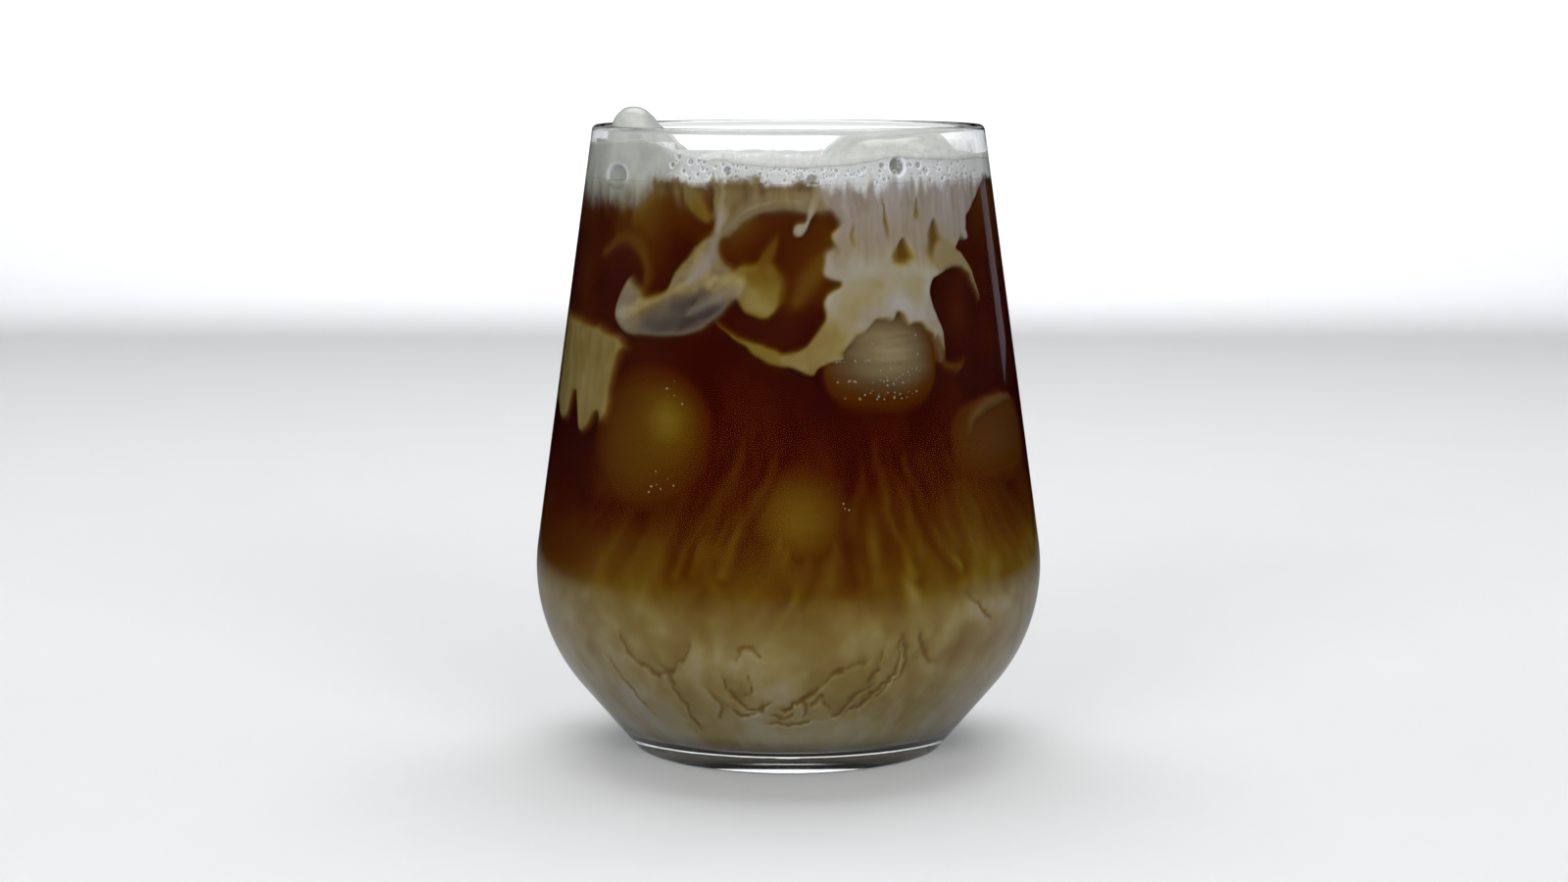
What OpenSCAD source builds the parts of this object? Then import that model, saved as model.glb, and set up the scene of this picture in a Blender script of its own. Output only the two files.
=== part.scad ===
// Iced latte in a stemless tumbler: a glass with a rounded belly, settled milky coffee,
// dark coffee above it, a head of froth, and two pieces of ice that stand out of the drink.
// The glass stands on z = 0 with its axis on Z. Sizes are in millimetres.

/* [Glass] */
// Height of the glass, foot to lip
glass_h = 107; // [88:1:130]
// Outer radius at the lip
rim_r = 33.3; // [29:0.1:39]
// Outer radius at the widest place
belly_r = 43.5; // [40:0.1:53]
// Height of the widest place
belly_z = 31.5; // [26:0.5:38]
// Radius of the arc that rounds the belly
belly_round = 31; // [20:1:34]
// Outer radius of the foot, where the lower cone meets the table
foot_r = 26.4; // [22:0.1:30]
// Thickness of the wall
wall_t = 2; // [1.4:0.1:3]
// Thickness of the base at its edge
base_t = 4.6; // [3.5:0.1:8]
// Radius of the fillet between the inner wall and the floor
floor_round = 9; // [4:0.5:14]
// Radius of the rounded edge of the foot
foot_edge_r = 1.2; // [0.5:0.1:2]
// Width of the flat ring that touches the table
foot_ring_w = 2.4; // [1.5:0.1:4]
// Height of the hollow under the base, at its middle
push_up = 1.4; // [0.5:0.1:2]

/* [Drink] */
// Depth of the coffee's surface, under the froth, below the lip
drink_low = 8.8; // [7.2:0.1:14]
// Height of the flat part of the settled milky coffee
milk_z = 23; // [14:0.5:26]
// How far the billows of milky coffee rise above its flat part
billow_rise = 4.5; // [2:0.5:7]
// Radius of one billow
billow_r = 11; // [8:0.5:13]
// Number of billows in the outer ring
billow_count = 9; // [5:1:12]

/* [Froth] */
// Thickness of the froth in the middle
froth_t = 1.9; // [1:0.1:3]
// How far the froth climbs the wall
froth_climb = 1.6; // [0.5:0.1:2.5]
// Width over which the froth climbs the wall
froth_climb_w = 3.2; // [2:0.1:5]
// Thickness of the collar of froth around each piece of ice
collar_t = 1.5; // [0.8:0.1:2.5]
// Height of the collar above the froth
collar_h = 1.6; // [0.5:0.1:2.2]
// Radius of the ball whose cap is the mound of froth at the front
mound_r = 9; // [7:0.5:11]
// Height of the mound above the froth
mound_h = 1.7; // [1:0.1:2.2]
// Direction of the mound, from +X
mound_dir = -52; // [-75:1:-40]

/* [Ice that stands out at the left] */
// Radius of its narrow upper end
left_nose_r = 3.8; // [3:0.1:5]
// Radius of its wide lower end
left_body_r = 12; // [9:0.5:13]
// Height of its top above the lip
left_proud = 3.2; // [1:0.1:5]
// Height from the middle of its lower end to the middle of its upper end
left_drop = 16; // [14:0.5:20]
// Direction in which it leans on the wall, from +X
left_dir = 197; // [185:1:215]

/* [Ice that stands out at the right] */
// Radius of the piece
right_r = 13.2; // [10:0.1:14]
// Radius of its rounded upper edge
right_edge_r = 7.5; // [5:0.5:9]
// Radius of its rounded lower edge
right_base_r = 4; // [2:0.5:6]
// Height of the piece
right_h = 27; // [20:1:32]
// Depth of its top below the lip
right_low = 1.7; // [0.5:0.1:4]
// How far it leans towards the wall
right_lean = 6; // [0:1:8]
// Direction in which it lies from the axis, from +X
right_dir = 24; // [10:1:40]

/* [Fits] */
// Clearance between a piece of ice and the wall
ice_gap = 0.4; // [0.3:0.1:1]

/* [Hidden] */
$fn = 96;
ARC_STEP = 4;          // degrees between points on an arc
REACH = 2 * glass_h;   // size of a block that reaches past the whole glass

// Height of the coffee's surface
drink_z = glass_h - drink_low;

// Points on an arc about c, from angle a0 to angle a1
function arc(c, r, a0, a1) =
    let (n = max(2, ceil(abs(a1 - a0) / ARC_STEP)))
    [for (i = [0:n]) let (a = a0 + (a1 - a0) * i / n) c + r * [cos(a), sin(a)]];

// Angle at which a line from point p touches the circle about c; side is 1 above and -1 below
function touch(p, c, r, side) =
    let (v = p - c) atan2(v[1], v[0]) - side * acos(r / norm(v));

// The belly's arc and the two straight walls that run into it
belly_c = [belly_r - belly_round, belly_z];
upper_a = touch([rim_r, glass_h], belly_c, belly_round, 1);
lower_a = touch([foot_r, 0], belly_c, belly_round, -1);

// Inner radius of the glass at height z on the upper straight wall
function inner_r(z) = rim_r + (glass_h - z) * tan(upper_a) - wall_t / cos(upper_a);

// Middle of a fillet of radius r between the lower wall, moved in by t, and a level at height z
function low_fillet(t, r, z) =
    [(belly_c * [cos(lower_a), sin(lower_a)] + belly_round - t - r
        - sin(lower_a) * (z + r)) / cos(lower_a), z + r];

foot_c = low_fillet(0, foot_edge_r, 0);
floor_c = low_fillet(wall_t, floor_round, base_t);
ring_in = foot_c[0] - foot_ring_w;
push_r = (ring_in * ring_in + push_up * push_up) / (2 * push_up);
push_a = asin(ring_in / push_r);

// Outer outline from the foot's edge up to the lip
function outer_line() = concat(
    arc(foot_c, foot_edge_r, -90, lower_a),
    arc(belly_c, belly_round, lower_a, upper_a));

// Inner outline from the floor up the wall to height z
function inner_line(z) = concat(
    [[0, base_t]],
    arc(floor_c, floor_round, -90, lower_a),
    arc(belly_c, belly_round - wall_t, lower_a, upper_a),
    [[inner_r(z), z]]);

function backwards(line) = [for (i = [len(line) - 1:-1:0]) line[i]];

// Middle of the lip's round edge
lip_r = wall_t / 2;
lip_c = [rim_r - lip_r / cos(upper_a) + lip_r * tan(upper_a), glass_h - lip_r];

// Space inside the glass, from the floor to height z
module inside(z) {
    rotate_extrude()
        polygon(concat(inner_line(z), [[0, z]]));
}

// Everything above height z
module above(z) {
    translate([0, 0, z])
        cylinder(r = REACH, h = REACH);
}

// Left ice: two balls of different size joined by the cone that touches both
left_nose_z = glass_h + left_proud - left_nose_r;
left_body_z = left_nose_z - left_drop;
left_nose_at = inner_r(left_nose_z) - (left_nose_r + ice_gap) / cos(upper_a);
left_body_at = inner_r(left_body_z) - (left_body_r + ice_gap) / cos(upper_a);
left_len = norm([left_nose_at - left_body_at, left_drop]);
left_tilt = atan2(left_nose_at - left_body_at, left_drop);
left_taper = asin((left_body_r - left_nose_r) / left_len);

module left_form(grow = 0) {
    rotate([0, 0, left_dir])
        translate([left_body_at, 0, left_body_z])
            rotate([0, left_tilt, 0])
                rotate_extrude()
                    polygon(concat(
                        arc([0, 0], left_body_r + grow, -90, left_taper),
                        arc([0, left_len], left_nose_r + grow, left_taper, 90)));
}

// Right ice: a round block with a broad rounded top
right_at = inner_r(drink_z) - right_r - ice_gap;
right_top = glass_h - right_low;

module right_form(grow = 0) {
    r = right_r + grow;
    edge = right_edge_r + grow;
    base = right_base_r + grow;
    rotate([0, 0, right_dir])
        translate([right_at, 0, drink_z])
            rotate([0, -right_lean, 0])
                translate([0, 0, right_top - drink_z])
                    rotate_extrude()
                        polygon(concat(
                            [[0, -right_h - grow]],
                            arc([r - base, base - right_h - grow], base, -90, 0),
                            arc([r - edge, grow - edge], edge, 0, 90),
                            [[0, grow]]));
}

// Settled milky coffee: a level body with billows in a ring and one in the middle
ring_at = inner_r(belly_z) - billow_r;

module milk_form() {
    cylinder(r = REACH, h = milk_z);
    billow(0, 0, 1);
    for (i = [0:billow_count - 1])
        billow(i * 360 / billow_count, ring_at, billow_share(i));
}

// Share of the full rise that billow i reaches
function billow_share(i) = 0.72 + 0.28 * sin(i * 145);

module billow(a, at, share) {
    rotate([0, 0, a])
        translate([at, 0, milk_z + billow_rise * share - billow_r])
            sphere(r = billow_r);
}

// Froth before the ice is taken out of it
froth_z = drink_z + froth_t;

module froth_form() {
    cylinder(r = REACH, h = froth_z);
    froth_climb_ring();
    froth_mound();
    intersection() {
        union() {
            left_form(collar_t);
            right_form(collar_t);
        }
        cylinder(r = REACH, h = froth_z + collar_h);
    }
}

// Hollow curve of froth that rises to the wall
module froth_climb_ring() {
    wall_r = inner_r(froth_z);
    rotate_extrude()
        polygon(concat(
            [for (s = [0:0.125:1])
                [wall_r - froth_climb_w * (1 - s), froth_z + froth_climb * s * s]],
            [[wall_r + wall_t / 2, froth_z + froth_climb],
             [wall_r + wall_t / 2, drink_z],
             [wall_r - froth_climb_w, drink_z]]));
}

module froth_mound() {
    rotate([0, 0, mound_dir])
        translate([inner_r(froth_z) - froth_climb_w, 0, froth_z + mound_h - mound_r])
            sphere(r = mound_r);
}

module glass() {
    color([0.88, 0.91, 0.9, 0.35])
        rotate_extrude()
            polygon(concat(
                outer_line(),
                arc(lip_c, lip_r, upper_a, 180 + upper_a),
                backwards(inner_line(glass_h - wall_t)),
                arc([0, push_up - push_r], push_r, 90, 90 - push_a)));
}

module milk_base() {
    color([0.46, 0.38, 0.22])
        intersection() {
            inside(drink_z);
            milk_form();
        }
}

module coffee() {
    color([0.2, 0.06, 0.01])
        difference() {
            inside(drink_z);
            milk_form();
            left_form();
            right_form();
        }
}

module froth() {
    color([0.73, 0.75, 0.75])
        difference() {
            intersection() {
                inside(glass_h);
                above(drink_z);
                froth_form();
            }
            left_form();
            right_form();
        }
}

module ice_left() {
    color([0.72, 0.74, 0.7])
        left_form();
}

module ice_right() {
    color([0.72, 0.74, 0.7])
        right_form();
}

glass();
milk_base();
coffee();
froth();
ice_left();
ice_right();
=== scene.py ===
"""Looks of an iced latte in a stemless tumbler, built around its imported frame.

Sizes in the making are in millimetres. Around the glass, an angle of 0 faces the front and
grows towards the right, and heights are measured from the foot.
"""

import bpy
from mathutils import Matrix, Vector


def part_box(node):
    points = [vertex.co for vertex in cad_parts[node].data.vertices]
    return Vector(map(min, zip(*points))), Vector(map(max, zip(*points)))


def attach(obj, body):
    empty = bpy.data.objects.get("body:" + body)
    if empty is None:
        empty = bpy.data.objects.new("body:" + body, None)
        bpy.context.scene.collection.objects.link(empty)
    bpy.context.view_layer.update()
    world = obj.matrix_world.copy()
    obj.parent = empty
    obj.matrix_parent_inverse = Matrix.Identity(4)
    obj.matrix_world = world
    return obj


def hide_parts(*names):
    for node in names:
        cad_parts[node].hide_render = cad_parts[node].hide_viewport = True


bl_info = {
    "name": "Iced Latte",
    "version": (1, 0, 0),
    "blender": (4, 5, 0),
    "location": "View3D > Sidebar > Iced Latte",
    "description": "Builds the drink, its froth and ice, the glass's finish and the stage",
    "category": "Object",
}

import math

import bpy
import numpy as np
from mathutils import Vector

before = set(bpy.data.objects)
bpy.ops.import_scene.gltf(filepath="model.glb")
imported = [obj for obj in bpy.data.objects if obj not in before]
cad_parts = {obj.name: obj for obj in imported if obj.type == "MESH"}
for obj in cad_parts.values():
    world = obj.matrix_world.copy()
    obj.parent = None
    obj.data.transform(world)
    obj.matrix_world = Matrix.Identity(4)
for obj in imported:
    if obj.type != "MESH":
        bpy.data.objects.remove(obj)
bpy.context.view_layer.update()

MM = 0.001
ARC = 0.663        # length of the wall, at its mean inner radius, in one degree
RIM_ARC = 0.59     # the same near the lip
DEEPEST = 13.0     # cover of coffee at which nothing pale shows any more
HAIR = 0.02        # how far the glass's looks stay inside the outline of its solid
ICE_GAP = 0.4      # clearance between the ice and the wall
SEAM = 27.0        # height at which the milky layer's mesh ends and the coffee's begins


# ------------------------------------------------------------------ numbers and noise

_tables = {}


def lattice(seed):
    """Table of random numbers that one noise draws on."""
    if seed not in _tables:
        draw = np.random.default_rng(seed).random(4096)
        _tables[seed] = (draw * 2 - 1).astype(np.float32)
    return _tables[seed]


def noise(p, seed):
    """Smooth noise from -1 to 1 at points p, measured in cells."""
    table = lattice(seed)
    cell = np.floor(p).astype(np.int64)
    f = (p - cell).astype(np.float32)
    f = f * f * f * (f * (f * 6 - 15) + 10)
    total = np.zeros(len(p), np.float32)
    for dx in (0, 1):
        for dy in (0, 1):
            for dz in (0, 1):
                key = (cell[:, 0] + dx) * 73856093
                key = key ^ (cell[:, 1] + dy) * 19349663
                key = key ^ (cell[:, 2] + dz) * 83492791
                share = f[:, 0] if dx else 1 - f[:, 0]
                share = share * (f[:, 1] if dy else 1 - f[:, 1])
                share = share * (f[:, 2] if dz else 1 - f[:, 2])
                total += share * table[key & 4095]
    return total


def fractal(p, seed, octaves):
    """Noise of several sizes, each half as strong as the one before."""
    total = 0.0
    size = 1.0
    for i in range(octaves):
        total = total + noise(p * 2.03**i, seed + 7 * i) * size
        size *= 0.5
    return total


def smooth(low, high, x):
    t = np.clip((x - low) / (high - low), 0, 1)
    return t * t * (3 - 2 * t)


def lay(field, cover, share):
    """Field with a cover laid over it, by share from 0 to 1."""
    return field + (cover - field) * share


# ------------------------------------------------------------------ outline of the glass

def arc(centre, r, a0, a1):
    """Points on an arc, with angles in degrees."""
    a = np.radians(np.linspace(a0, a1, max(3, int(abs(a1 - a0) / 2) + 2)))
    return np.stack([centre[0] + r * np.cos(a), centre[1] + r * np.sin(a)], 1)


def touch(p, centre, r, side):
    """Angle at which a line from p touches a circle: side is 1 above and -1 below."""
    v = np.subtract(p, centre)
    return math.degrees(math.atan2(v[1], v[0])) - side * math.degrees(math.acos(r / math.hypot(*v)))


class Tumbler:
    """Outline of the glass, from the sizes its solid was made with."""

    def __init__(self, sizes):
        self.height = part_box("glass")[1].z / MM
        self.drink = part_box("coffee")[1].z / MM
        self.belly = (sizes.belly_r - sizes.belly_round, sizes.belly_z)
        self.round = sizes.belly_round
        self.rim = sizes.rim_r
        self.wall = sizes.wall_t
        self.upper = touch((self.rim, self.height), self.belly, self.round, 1)
        self.lower = touch((sizes.foot_r, 0), self.belly, self.round, -1)
        low = math.radians(self.lower)
        fillet = sizes.floor_round
        z = sizes.base_t + fillet
        r = self.belly[0] * math.cos(low) + self.belly[1] * math.sin(low)
        r = (r + self.round - self.wall - fillet - math.sin(low) * z) / math.cos(low)
        up = math.radians(self.upper)
        top_r = self.rim - self.wall / math.cos(up)
        self.line = np.concatenate([
            [[0, sizes.base_t]],
            arc((r, z), fillet, -90, self.lower),
            arc(self.belly, self.round - self.wall, self.lower, self.upper),
            [[top_r, self.height]]])

        self.foot = sizes.foot_edge_r
        self.ring = sizes.foot_ring_w
        self.hollow = sizes.push_up

    def whole(self):
        """Outline of the whole glass, from under the foot, over the lip and down to the floor."""
        low = math.radians(self.lower)
        z = self.foot
        r = self.belly[0] * math.cos(low) + self.belly[1] * math.sin(low)
        r = (r + self.round - self.foot - math.sin(low) * z) / math.cos(low)
        ring = r - self.ring
        cap = (ring**2 + self.hollow**2) / (2 * self.hollow)
        steep = math.degrees(math.asin(ring / cap))
        up = math.radians(self.upper)
        half = self.wall / 2
        lip = (self.rim - half / math.cos(up) + half * math.tan(up), self.height - half)
        dome = arc((0, self.hollow - cap), cap, 90, 90 - steep)
        outside = np.concatenate([
            resample(dome, 16)[1:],
            arc((r, z), self.foot, -90, self.lower),
            resample(arc(self.belly, self.round - HAIR, self.lower, self.upper), 60)])
        join = np.array([lip[0] + half * math.cos(up), lip[1] + half * math.sin(up)])
        outside = np.concatenate([outside, np.linspace(outside[-1], join, 30)[1:-1]])
        edge = arc(lip, half, self.upper, 180 + self.upper)
        inside = resample(self.line[:-1], 130)[::-1]
        straight = np.linspace(edge[-1], inside[0], 60)[1:-1]
        self.lip_row = len(outside) + len(edge) - 1
        return np.concatenate([outside, edge, straight, inside[:-1]])

    def inner(self, z):
        """Inner radius of the glass at height z."""
        side = self.line[1:]
        return np.interp(z, side[:, 1], side[:, 0])


def around(r, theta, z):
    """Points at radius r, angle theta in degrees and height z."""
    a = np.radians(theta)
    return np.stack(np.broadcast_arrays(r * np.sin(a), -r * np.cos(a), z), -1)


# ------------------------------------------------------------------ meshes

def skin(name, rings, ends=True):
    """Mesh over closed rings of points in millimetres, with a flat fan at each end."""
    rows, cols = rings.shape[:2]
    points = rings.reshape(-1, 3)
    i = np.arange(rows - 1)[:, None] * cols
    j = np.arange(cols)[None, :]
    k = (j + 1) % cols
    faces = np.stack([i + j, i + k, i + cols + k, i + cols + j], -1).reshape(-1, 4).tolist()
    if ends:
        low = len(points)
        points = np.concatenate([points, [rings[0].mean(0)], [rings[-1].mean(0)]])
        last = (rows - 1) * cols
        faces += [[low, (n + 1) % cols, n] for n in range(cols)]
        faces += [[low + 1, last + n, last + (n + 1) % cols] for n in range(cols)]
    mesh = bpy.data.meshes.new(name)
    mesh.from_pydata((points * MM).tolist(), [], faces)
    mesh.shade_smooth()
    if ends:
        pair = np.zeros(len(mesh.edges) * 2, np.int32)
        mesh.edges.foreach_get("vertices", pair)
        pair = pair.reshape(-1, 2)
        rim = (pair < cols).all(1) | ((pair >= last) & (pair < last + cols)).all(1)
        sharp = mesh.attributes.new("sharp_edge", "BOOLEAN", "EDGE")
        sharp.data.foreach_set("value", rim)
    obj = bpy.data.objects.new(name, mesh)
    bpy.context.scene.collection.objects.link(obj)
    return obj


def joined(name, parts):
    """One mesh from several lists of points in millimetres and their faces."""
    points = []
    faces = []
    start = 0
    for p, f in parts:
        points.append(p)
        faces += (np.array(f) + start).tolist()
        start += len(p)
    mesh = bpy.data.meshes.new(name)
    mesh.from_pydata((np.concatenate(points) * MM).tolist(), [], faces)
    mesh.shade_smooth()
    obj = bpy.data.objects.new(name, mesh)
    bpy.context.scene.collection.objects.link(obj)
    return obj


def bead(place, r):
    """Points and faces of a small ball, in millimetres."""
    lat = np.radians([-90, -50, -15, 15, 50, 90])
    lon = np.radians(np.arange(0, 360, 45))
    points = [(0, 0, -1)]
    points += [(math.cos(b) * math.cos(a), math.cos(b) * math.sin(a), math.sin(b))
               for b in lat[1:-1] for a in lon]
    points.append((0, 0, 1))
    n = len(lon)
    faces = [[0, 1 + (k + 1) % n, 1 + k] for k in range(n)]
    for row in range(3):
        for k in range(n):
            a = 1 + row * n + k
            b = 1 + row * n + (k + 1) % n
            faces += [[a, b, b + n], [a, b + n, a + n]]
    last = 1 + 3 * n
    faces += [[last + k, last + (k + 1) % n, last + n] for k in range(n)]
    return np.array(points) * r + place, faces


def paint(obj, **values):
    """Stores a number for each point under each name; missing end points get the mean."""
    for name, value in values.items():
        value = np.asarray(value, np.float32).ravel()
        spare = len(obj.data.vertices) - len(value)
        value = np.concatenate([value, np.full(spare, value.mean(), np.float32)])
        layer = obj.data.attributes.new(name, "FLOAT", "POINT")
        layer.data.foreach_set("value", value)


def settle(obj, material, slot, *nodes):
    """Gives a piece its finish, and fixes it to the object."""
    obj.data.materials.append(material)
    if nodes:
        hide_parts(*nodes)
    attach(obj, "root")
    return obj


# ------------------------------------------------------------------ materials

def linear(rgb, gain=1.0):
    """Colour for a shader, made brighter by gain, from screen values 0 to 255."""
    c = np.asarray(rgb, float) / 255
    c = np.where(c > 0.04045, ((c + 0.055) / 1.055)**2.4, c / 12.92)
    return [float(x) * gain for x in c]


class Finish:
    """A node material under construction."""

    def __init__(self, name):
        self.material = bpy.data.materials.new(name)
        self.material.use_nodes = True
        self.tree = self.material.node_tree
        self.shader = self.tree.nodes["Principled BSDF"]
        self.out = self.tree.nodes["Material Output"]

    def node(self, kind, **settings):
        made = self.tree.nodes.new(kind)
        for key, value in settings.items():
            setattr(made, key, value)
        return made

    def link(self, a, b):
        self.tree.links.new(a, b)

    def value(self, name):
        """The number stored on the mesh under name."""
        return self.node("ShaderNodeAttribute", attribute_name=name).outputs["Fac"]

    def math(self, operation, a, b=None, c=None):
        made = self.node("ShaderNodeMath", operation=operation)
        for socket, given in zip(made.inputs, (a, b, c)):
            if given is None:
                continue
            if isinstance(given, (int, float)):
                socket.default_value = given
            else:
                self.link(given, socket)
        return made.outputs[0]

    def clamp(self, value):
        made = self.node("ShaderNodeClamp")
        self.link(value, made.inputs[0])
        return made.outputs[0]

    def ramp(self, factor, stops):
        made = self.node("ShaderNodeValToRGB")
        band = made.color_ramp
        while len(band.elements) < len(stops):
            band.elements.new(0.5)
        for element, (at, colour) in zip(band.elements, stops):
            element.position = at
            element.color = (*colour, 1)
        self.link(factor, made.inputs[0])
        return made.outputs[0]

    def blend(self, share, a, b):
        made = self.node("ShaderNodeMix", data_type="RGBA")
        for socket, given in zip((made.inputs[0], made.inputs[6], made.inputs[7]), (share, a, b)):
            if isinstance(given, (int, float)):
                socket.default_value = given
            elif isinstance(given, (tuple, list)):
                socket.default_value = (*given, 1)
            else:
                self.link(given, socket)
        return made.outputs[2]

    def grain(self, scale, detail, stretch=(1, 1, 1)):
        """Noise in the object's own space; scale is in cells for each millimetre."""
        place = self.node("ShaderNodeTexCoord")
        grow = self.node("ShaderNodeMapping")
        grow.inputs["Scale"].default_value = stretch
        self.link(place.outputs["Object"], grow.inputs[0])
        made = self.node("ShaderNodeTexNoise")
        made.inputs["Scale"].default_value = scale / MM
        made.inputs["Detail"].default_value = detail
        self.link(grow.outputs[0], made.inputs["Vector"])
        return made.outputs["Fac"]

    def bump(self, height, strength, distance):
        made = self.node("ShaderNodeBump")
        made.inputs["Strength"].default_value = strength
        made.inputs["Distance"].default_value = distance * MM
        self.link(height, made.inputs["Height"])
        self.link(made.outputs[0], self.shader.inputs["Normal"])

    def set(self, **sockets):
        for name, value in sockets.items():
            self.shader.inputs[name.replace("_", " ")].default_value = value

    def let_light_through(self, surface):
        """Lamps reach what is behind this surface."""
        path = self.node("ShaderNodeLightPath")
        clear = self.node("ShaderNodeBsdfTransparent")
        mix = self.node("ShaderNodeMixShader")
        self.link(path.outputs["Is Shadow Ray"], mix.inputs[0])
        self.link(surface, mix.inputs[1])
        self.link(clear.outputs[0], mix.inputs[2])
        self.link(mix.outputs[0], self.out.inputs["Surface"])


WARM = [(0, (156, 150, 136)), (0.8, (147, 137, 107)), (1.6, (137, 120, 68)), (2.4, (119, 98, 40)),
        (3.4, (103, 77, 12)), (4.6, (90, 58, 3)), (6.2, (77, 40, 1)), (8.0, (67, 25, 0)),
        (9.6, (56, 10, 0)), (11.5, (47, 3, 0)), (13, (41, 1, 0))]
COOL = [(0, (160, 157, 162)), (0.8, (144, 135, 132)), (1.6, (133, 122, 114)), (2.4, (118, 108, 94)),
        (3.4, (101, 94, 84)), (4.6, (83, 76, 69)), (6.2, (66, 55, 48)), (8.0, (56, 36, 26)),
        (9.6, (50, 19, 10)), (11.5, (46, 8, 3)), (13, (42, 2, 0))]


FROTH = (202, 203, 203)
ICE = (186, 190, 182)


def foam(f, gain):
    """Colour of the froth: small cells, bubbles with painted highlights on their rims, and, where the
    ice leans on the wall, a glaze.
    """
    place = f.node("ShaderNodeTexCoord")
    cell = f.node("ShaderNodeTexVoronoi", feature="DISTANCE_TO_EDGE")
    cell.inputs["Scale"].default_value = 2.4 / MM
    f.link(place.outputs["Object"], cell.inputs["Vector"])
    inner = f.clamp(f.math("MULTIPLY", cell.outputs["Distance"], 3.0))
    tone = f.blend(inner, linear(FROTH, gain), linear(FROTH, gain * 0.8))
    # Scattered larger bubbles on the top, each a painted highlight ring round a greyer middle
    ball = f.node("ShaderNodeTexVoronoi", feature="F1")
    ball.inputs["Scale"].default_value = 0.62 / MM
    f.link(place.outputs["Object"], ball.inputs["Vector"])
    some = f.node("ShaderNodeSeparateColor")
    f.link(ball.outputs["Color"], some.inputs[0])
    size = f.math("MULTIPLY_ADD", some.outputs[1], 1.6, 0.9)
    ring = f.ramp(f.math("MULTIPLY", ball.outputs["Distance"], size), [
        (0.0, linear((186, 190, 190), gain)),
        (0.24, linear((168, 171, 169), gain)),
        (0.31, linear((222, 226, 230), gain)),
        (0.38, linear(FROTH, gain))])
    shown = f.math("MULTIPLY", f.value("top"), f.math("GREATER_THAN", some.outputs[0], 0.42))
    shown = f.math("MULTIPLY", shown, f.math("LESS_THAN", f.math(
        "MULTIPLY", ball.outputs["Distance"], size), 0.38))
    tone = f.blend(shown, tone, ring)
    mottle = f.ramp(f.grain(0.22, 4, (1, 1, 0.7)), [(0.3, linear(ICE, gain * 0.72)),
                                                    (0.7, linear(ICE, gain))])
    tone = f.blend(f.value("glaze"), tone, mottle)
    tone = f.blend(f.value("disc"), tone, linear((128, 130, 124), gain))
    # Bright rims of the bubbles at the wall: painted highlight
    return f.blend(f.value("rim"), tone, linear((224, 228, 236), gain * 1.12)), inner


def stained(name, gain, fine, pale):
    """Milk or ice seen through a cover of coffee: colour follows the depth of the cover.

    Where the mesh's number "bare" is 1 there is no cover, and the colour is pale.
    """
    f = Finish(name)
    veil = f.value("veil")
    wisp = f.grain(0.9, 3, (1, 1, 0.45))
    wisp = f.math("MULTIPLY", f.math("SUBTRACT", wisp, 0.5), fine)
    wisp = f.math("MULTIPLY", wisp, f.clamp(f.math("SUBTRACT", 1.35, f.math("MULTIPLY", veil, 0.2))))
    depth = f.math("DIVIDE", f.math("ADD", veil, wisp), DEEPEST)
    scale = [(v / DEEPEST, linear(c, gain)) for v, c in WARM]
    warm = f.ramp(depth, scale)
    scale = [(v / DEEPEST, linear(c, gain)) for v, c in COOL]
    cool = f.ramp(depth, scale)
    body = f.blend(f.value("cool"), warm, cool)
    bare = f.math("ADD", f.value("bare"), f.math("MULTIPLY", wisp, 0.12 * fine))
    bare = f.clamp(bare)
    if pale == FROTH:
        shade, inner = foam(f, gain)
        f.bump(f.math("MULTIPLY", inner, bare), 0.15, 0.1)
    else:
        shade = linear(pale, gain)
    f.link(f.blend(bare, body, shade), f.shader.inputs["Base Color"])
    f.set(Roughness=1.0, Specular_IOR_Level=0.0)
    return f.material


# ------------------------------------------------------------------ the drink's pattern

def curve(points, closed, steps=6):
    """Smooth curve through points of angle, height and half-width, on the unrolled wall."""
    p = np.array(points, float)
    p[:, 0] *= ARC
    n = len(p)
    out = []
    for i in range(n if closed else n - 1):
        if closed:
            a, b, c, d = p[i - 1], p[i], p[(i + 1) % n], p[(i + 2) % n]
        else:
            b, c = p[i], p[i + 1]
            a = p[i - 1] if i else 2 * b - c
            d = p[i + 2] if i + 2 < n else 2 * c - b
        for t in np.arange(steps) / steps:
            bend = 2 * a - 5 * b + 4 * c - d
            twist = 3 * b - a - 3 * c + d
            out.append(0.5 * (2 * b + (c - a) * t + bend * t**2 + twist * t**3))
    if not closed:
        out.append(p[-1])
    return np.array(out, np.float32)


def near(line, u, z, closed):
    """Distance to a line, less its half-width, the way along it, and the side of it."""
    best = np.full(u.shape, 1e3, np.float32)
    along = np.zeros(u.shape, np.float32)
    side = np.zeros(u.shape, np.float32)
    done = 0.0
    for i in range(len(line) - (0 if closed else 1)):
        a = line[i]
        b = line[(i + 1) % len(line)]
        du = float(b[0] - a[0])
        dz = float(b[1] - a[1])
        length = math.hypot(du, dz) + 1e-6
        t = np.clip(((u - a[0]) * du + (z - a[1]) * dz) / length**2, 0, 1)
        gap = np.hypot(u - a[0] - t * du, z - a[1] - t * dz)
        if len(a) > 2:
            gap = gap - (a[2] + t * (b[2] - a[2]))
        closer = gap < best
        best = np.where(closer, gap, best)
        along = np.where(closer, done + t * length, along)
        side = np.where(closer, np.sign(du * (z - a[1]) - dz * (u - a[0])), side)
        done += length
    return best, along, side


def inside(line, u, z):
    odd = np.zeros(u.shape, bool)
    for i in range(len(line)):
        u0, z0 = line[i - 1][:2]
        u1, z1 = line[i][:2]
        if z0 != z1:
            crosses = (z0 > z) != (z1 > z)
            odd ^= crosses & (u < u0 + (z - z0) * (u1 - u0) / (z1 - z0))
    return odd


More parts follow.
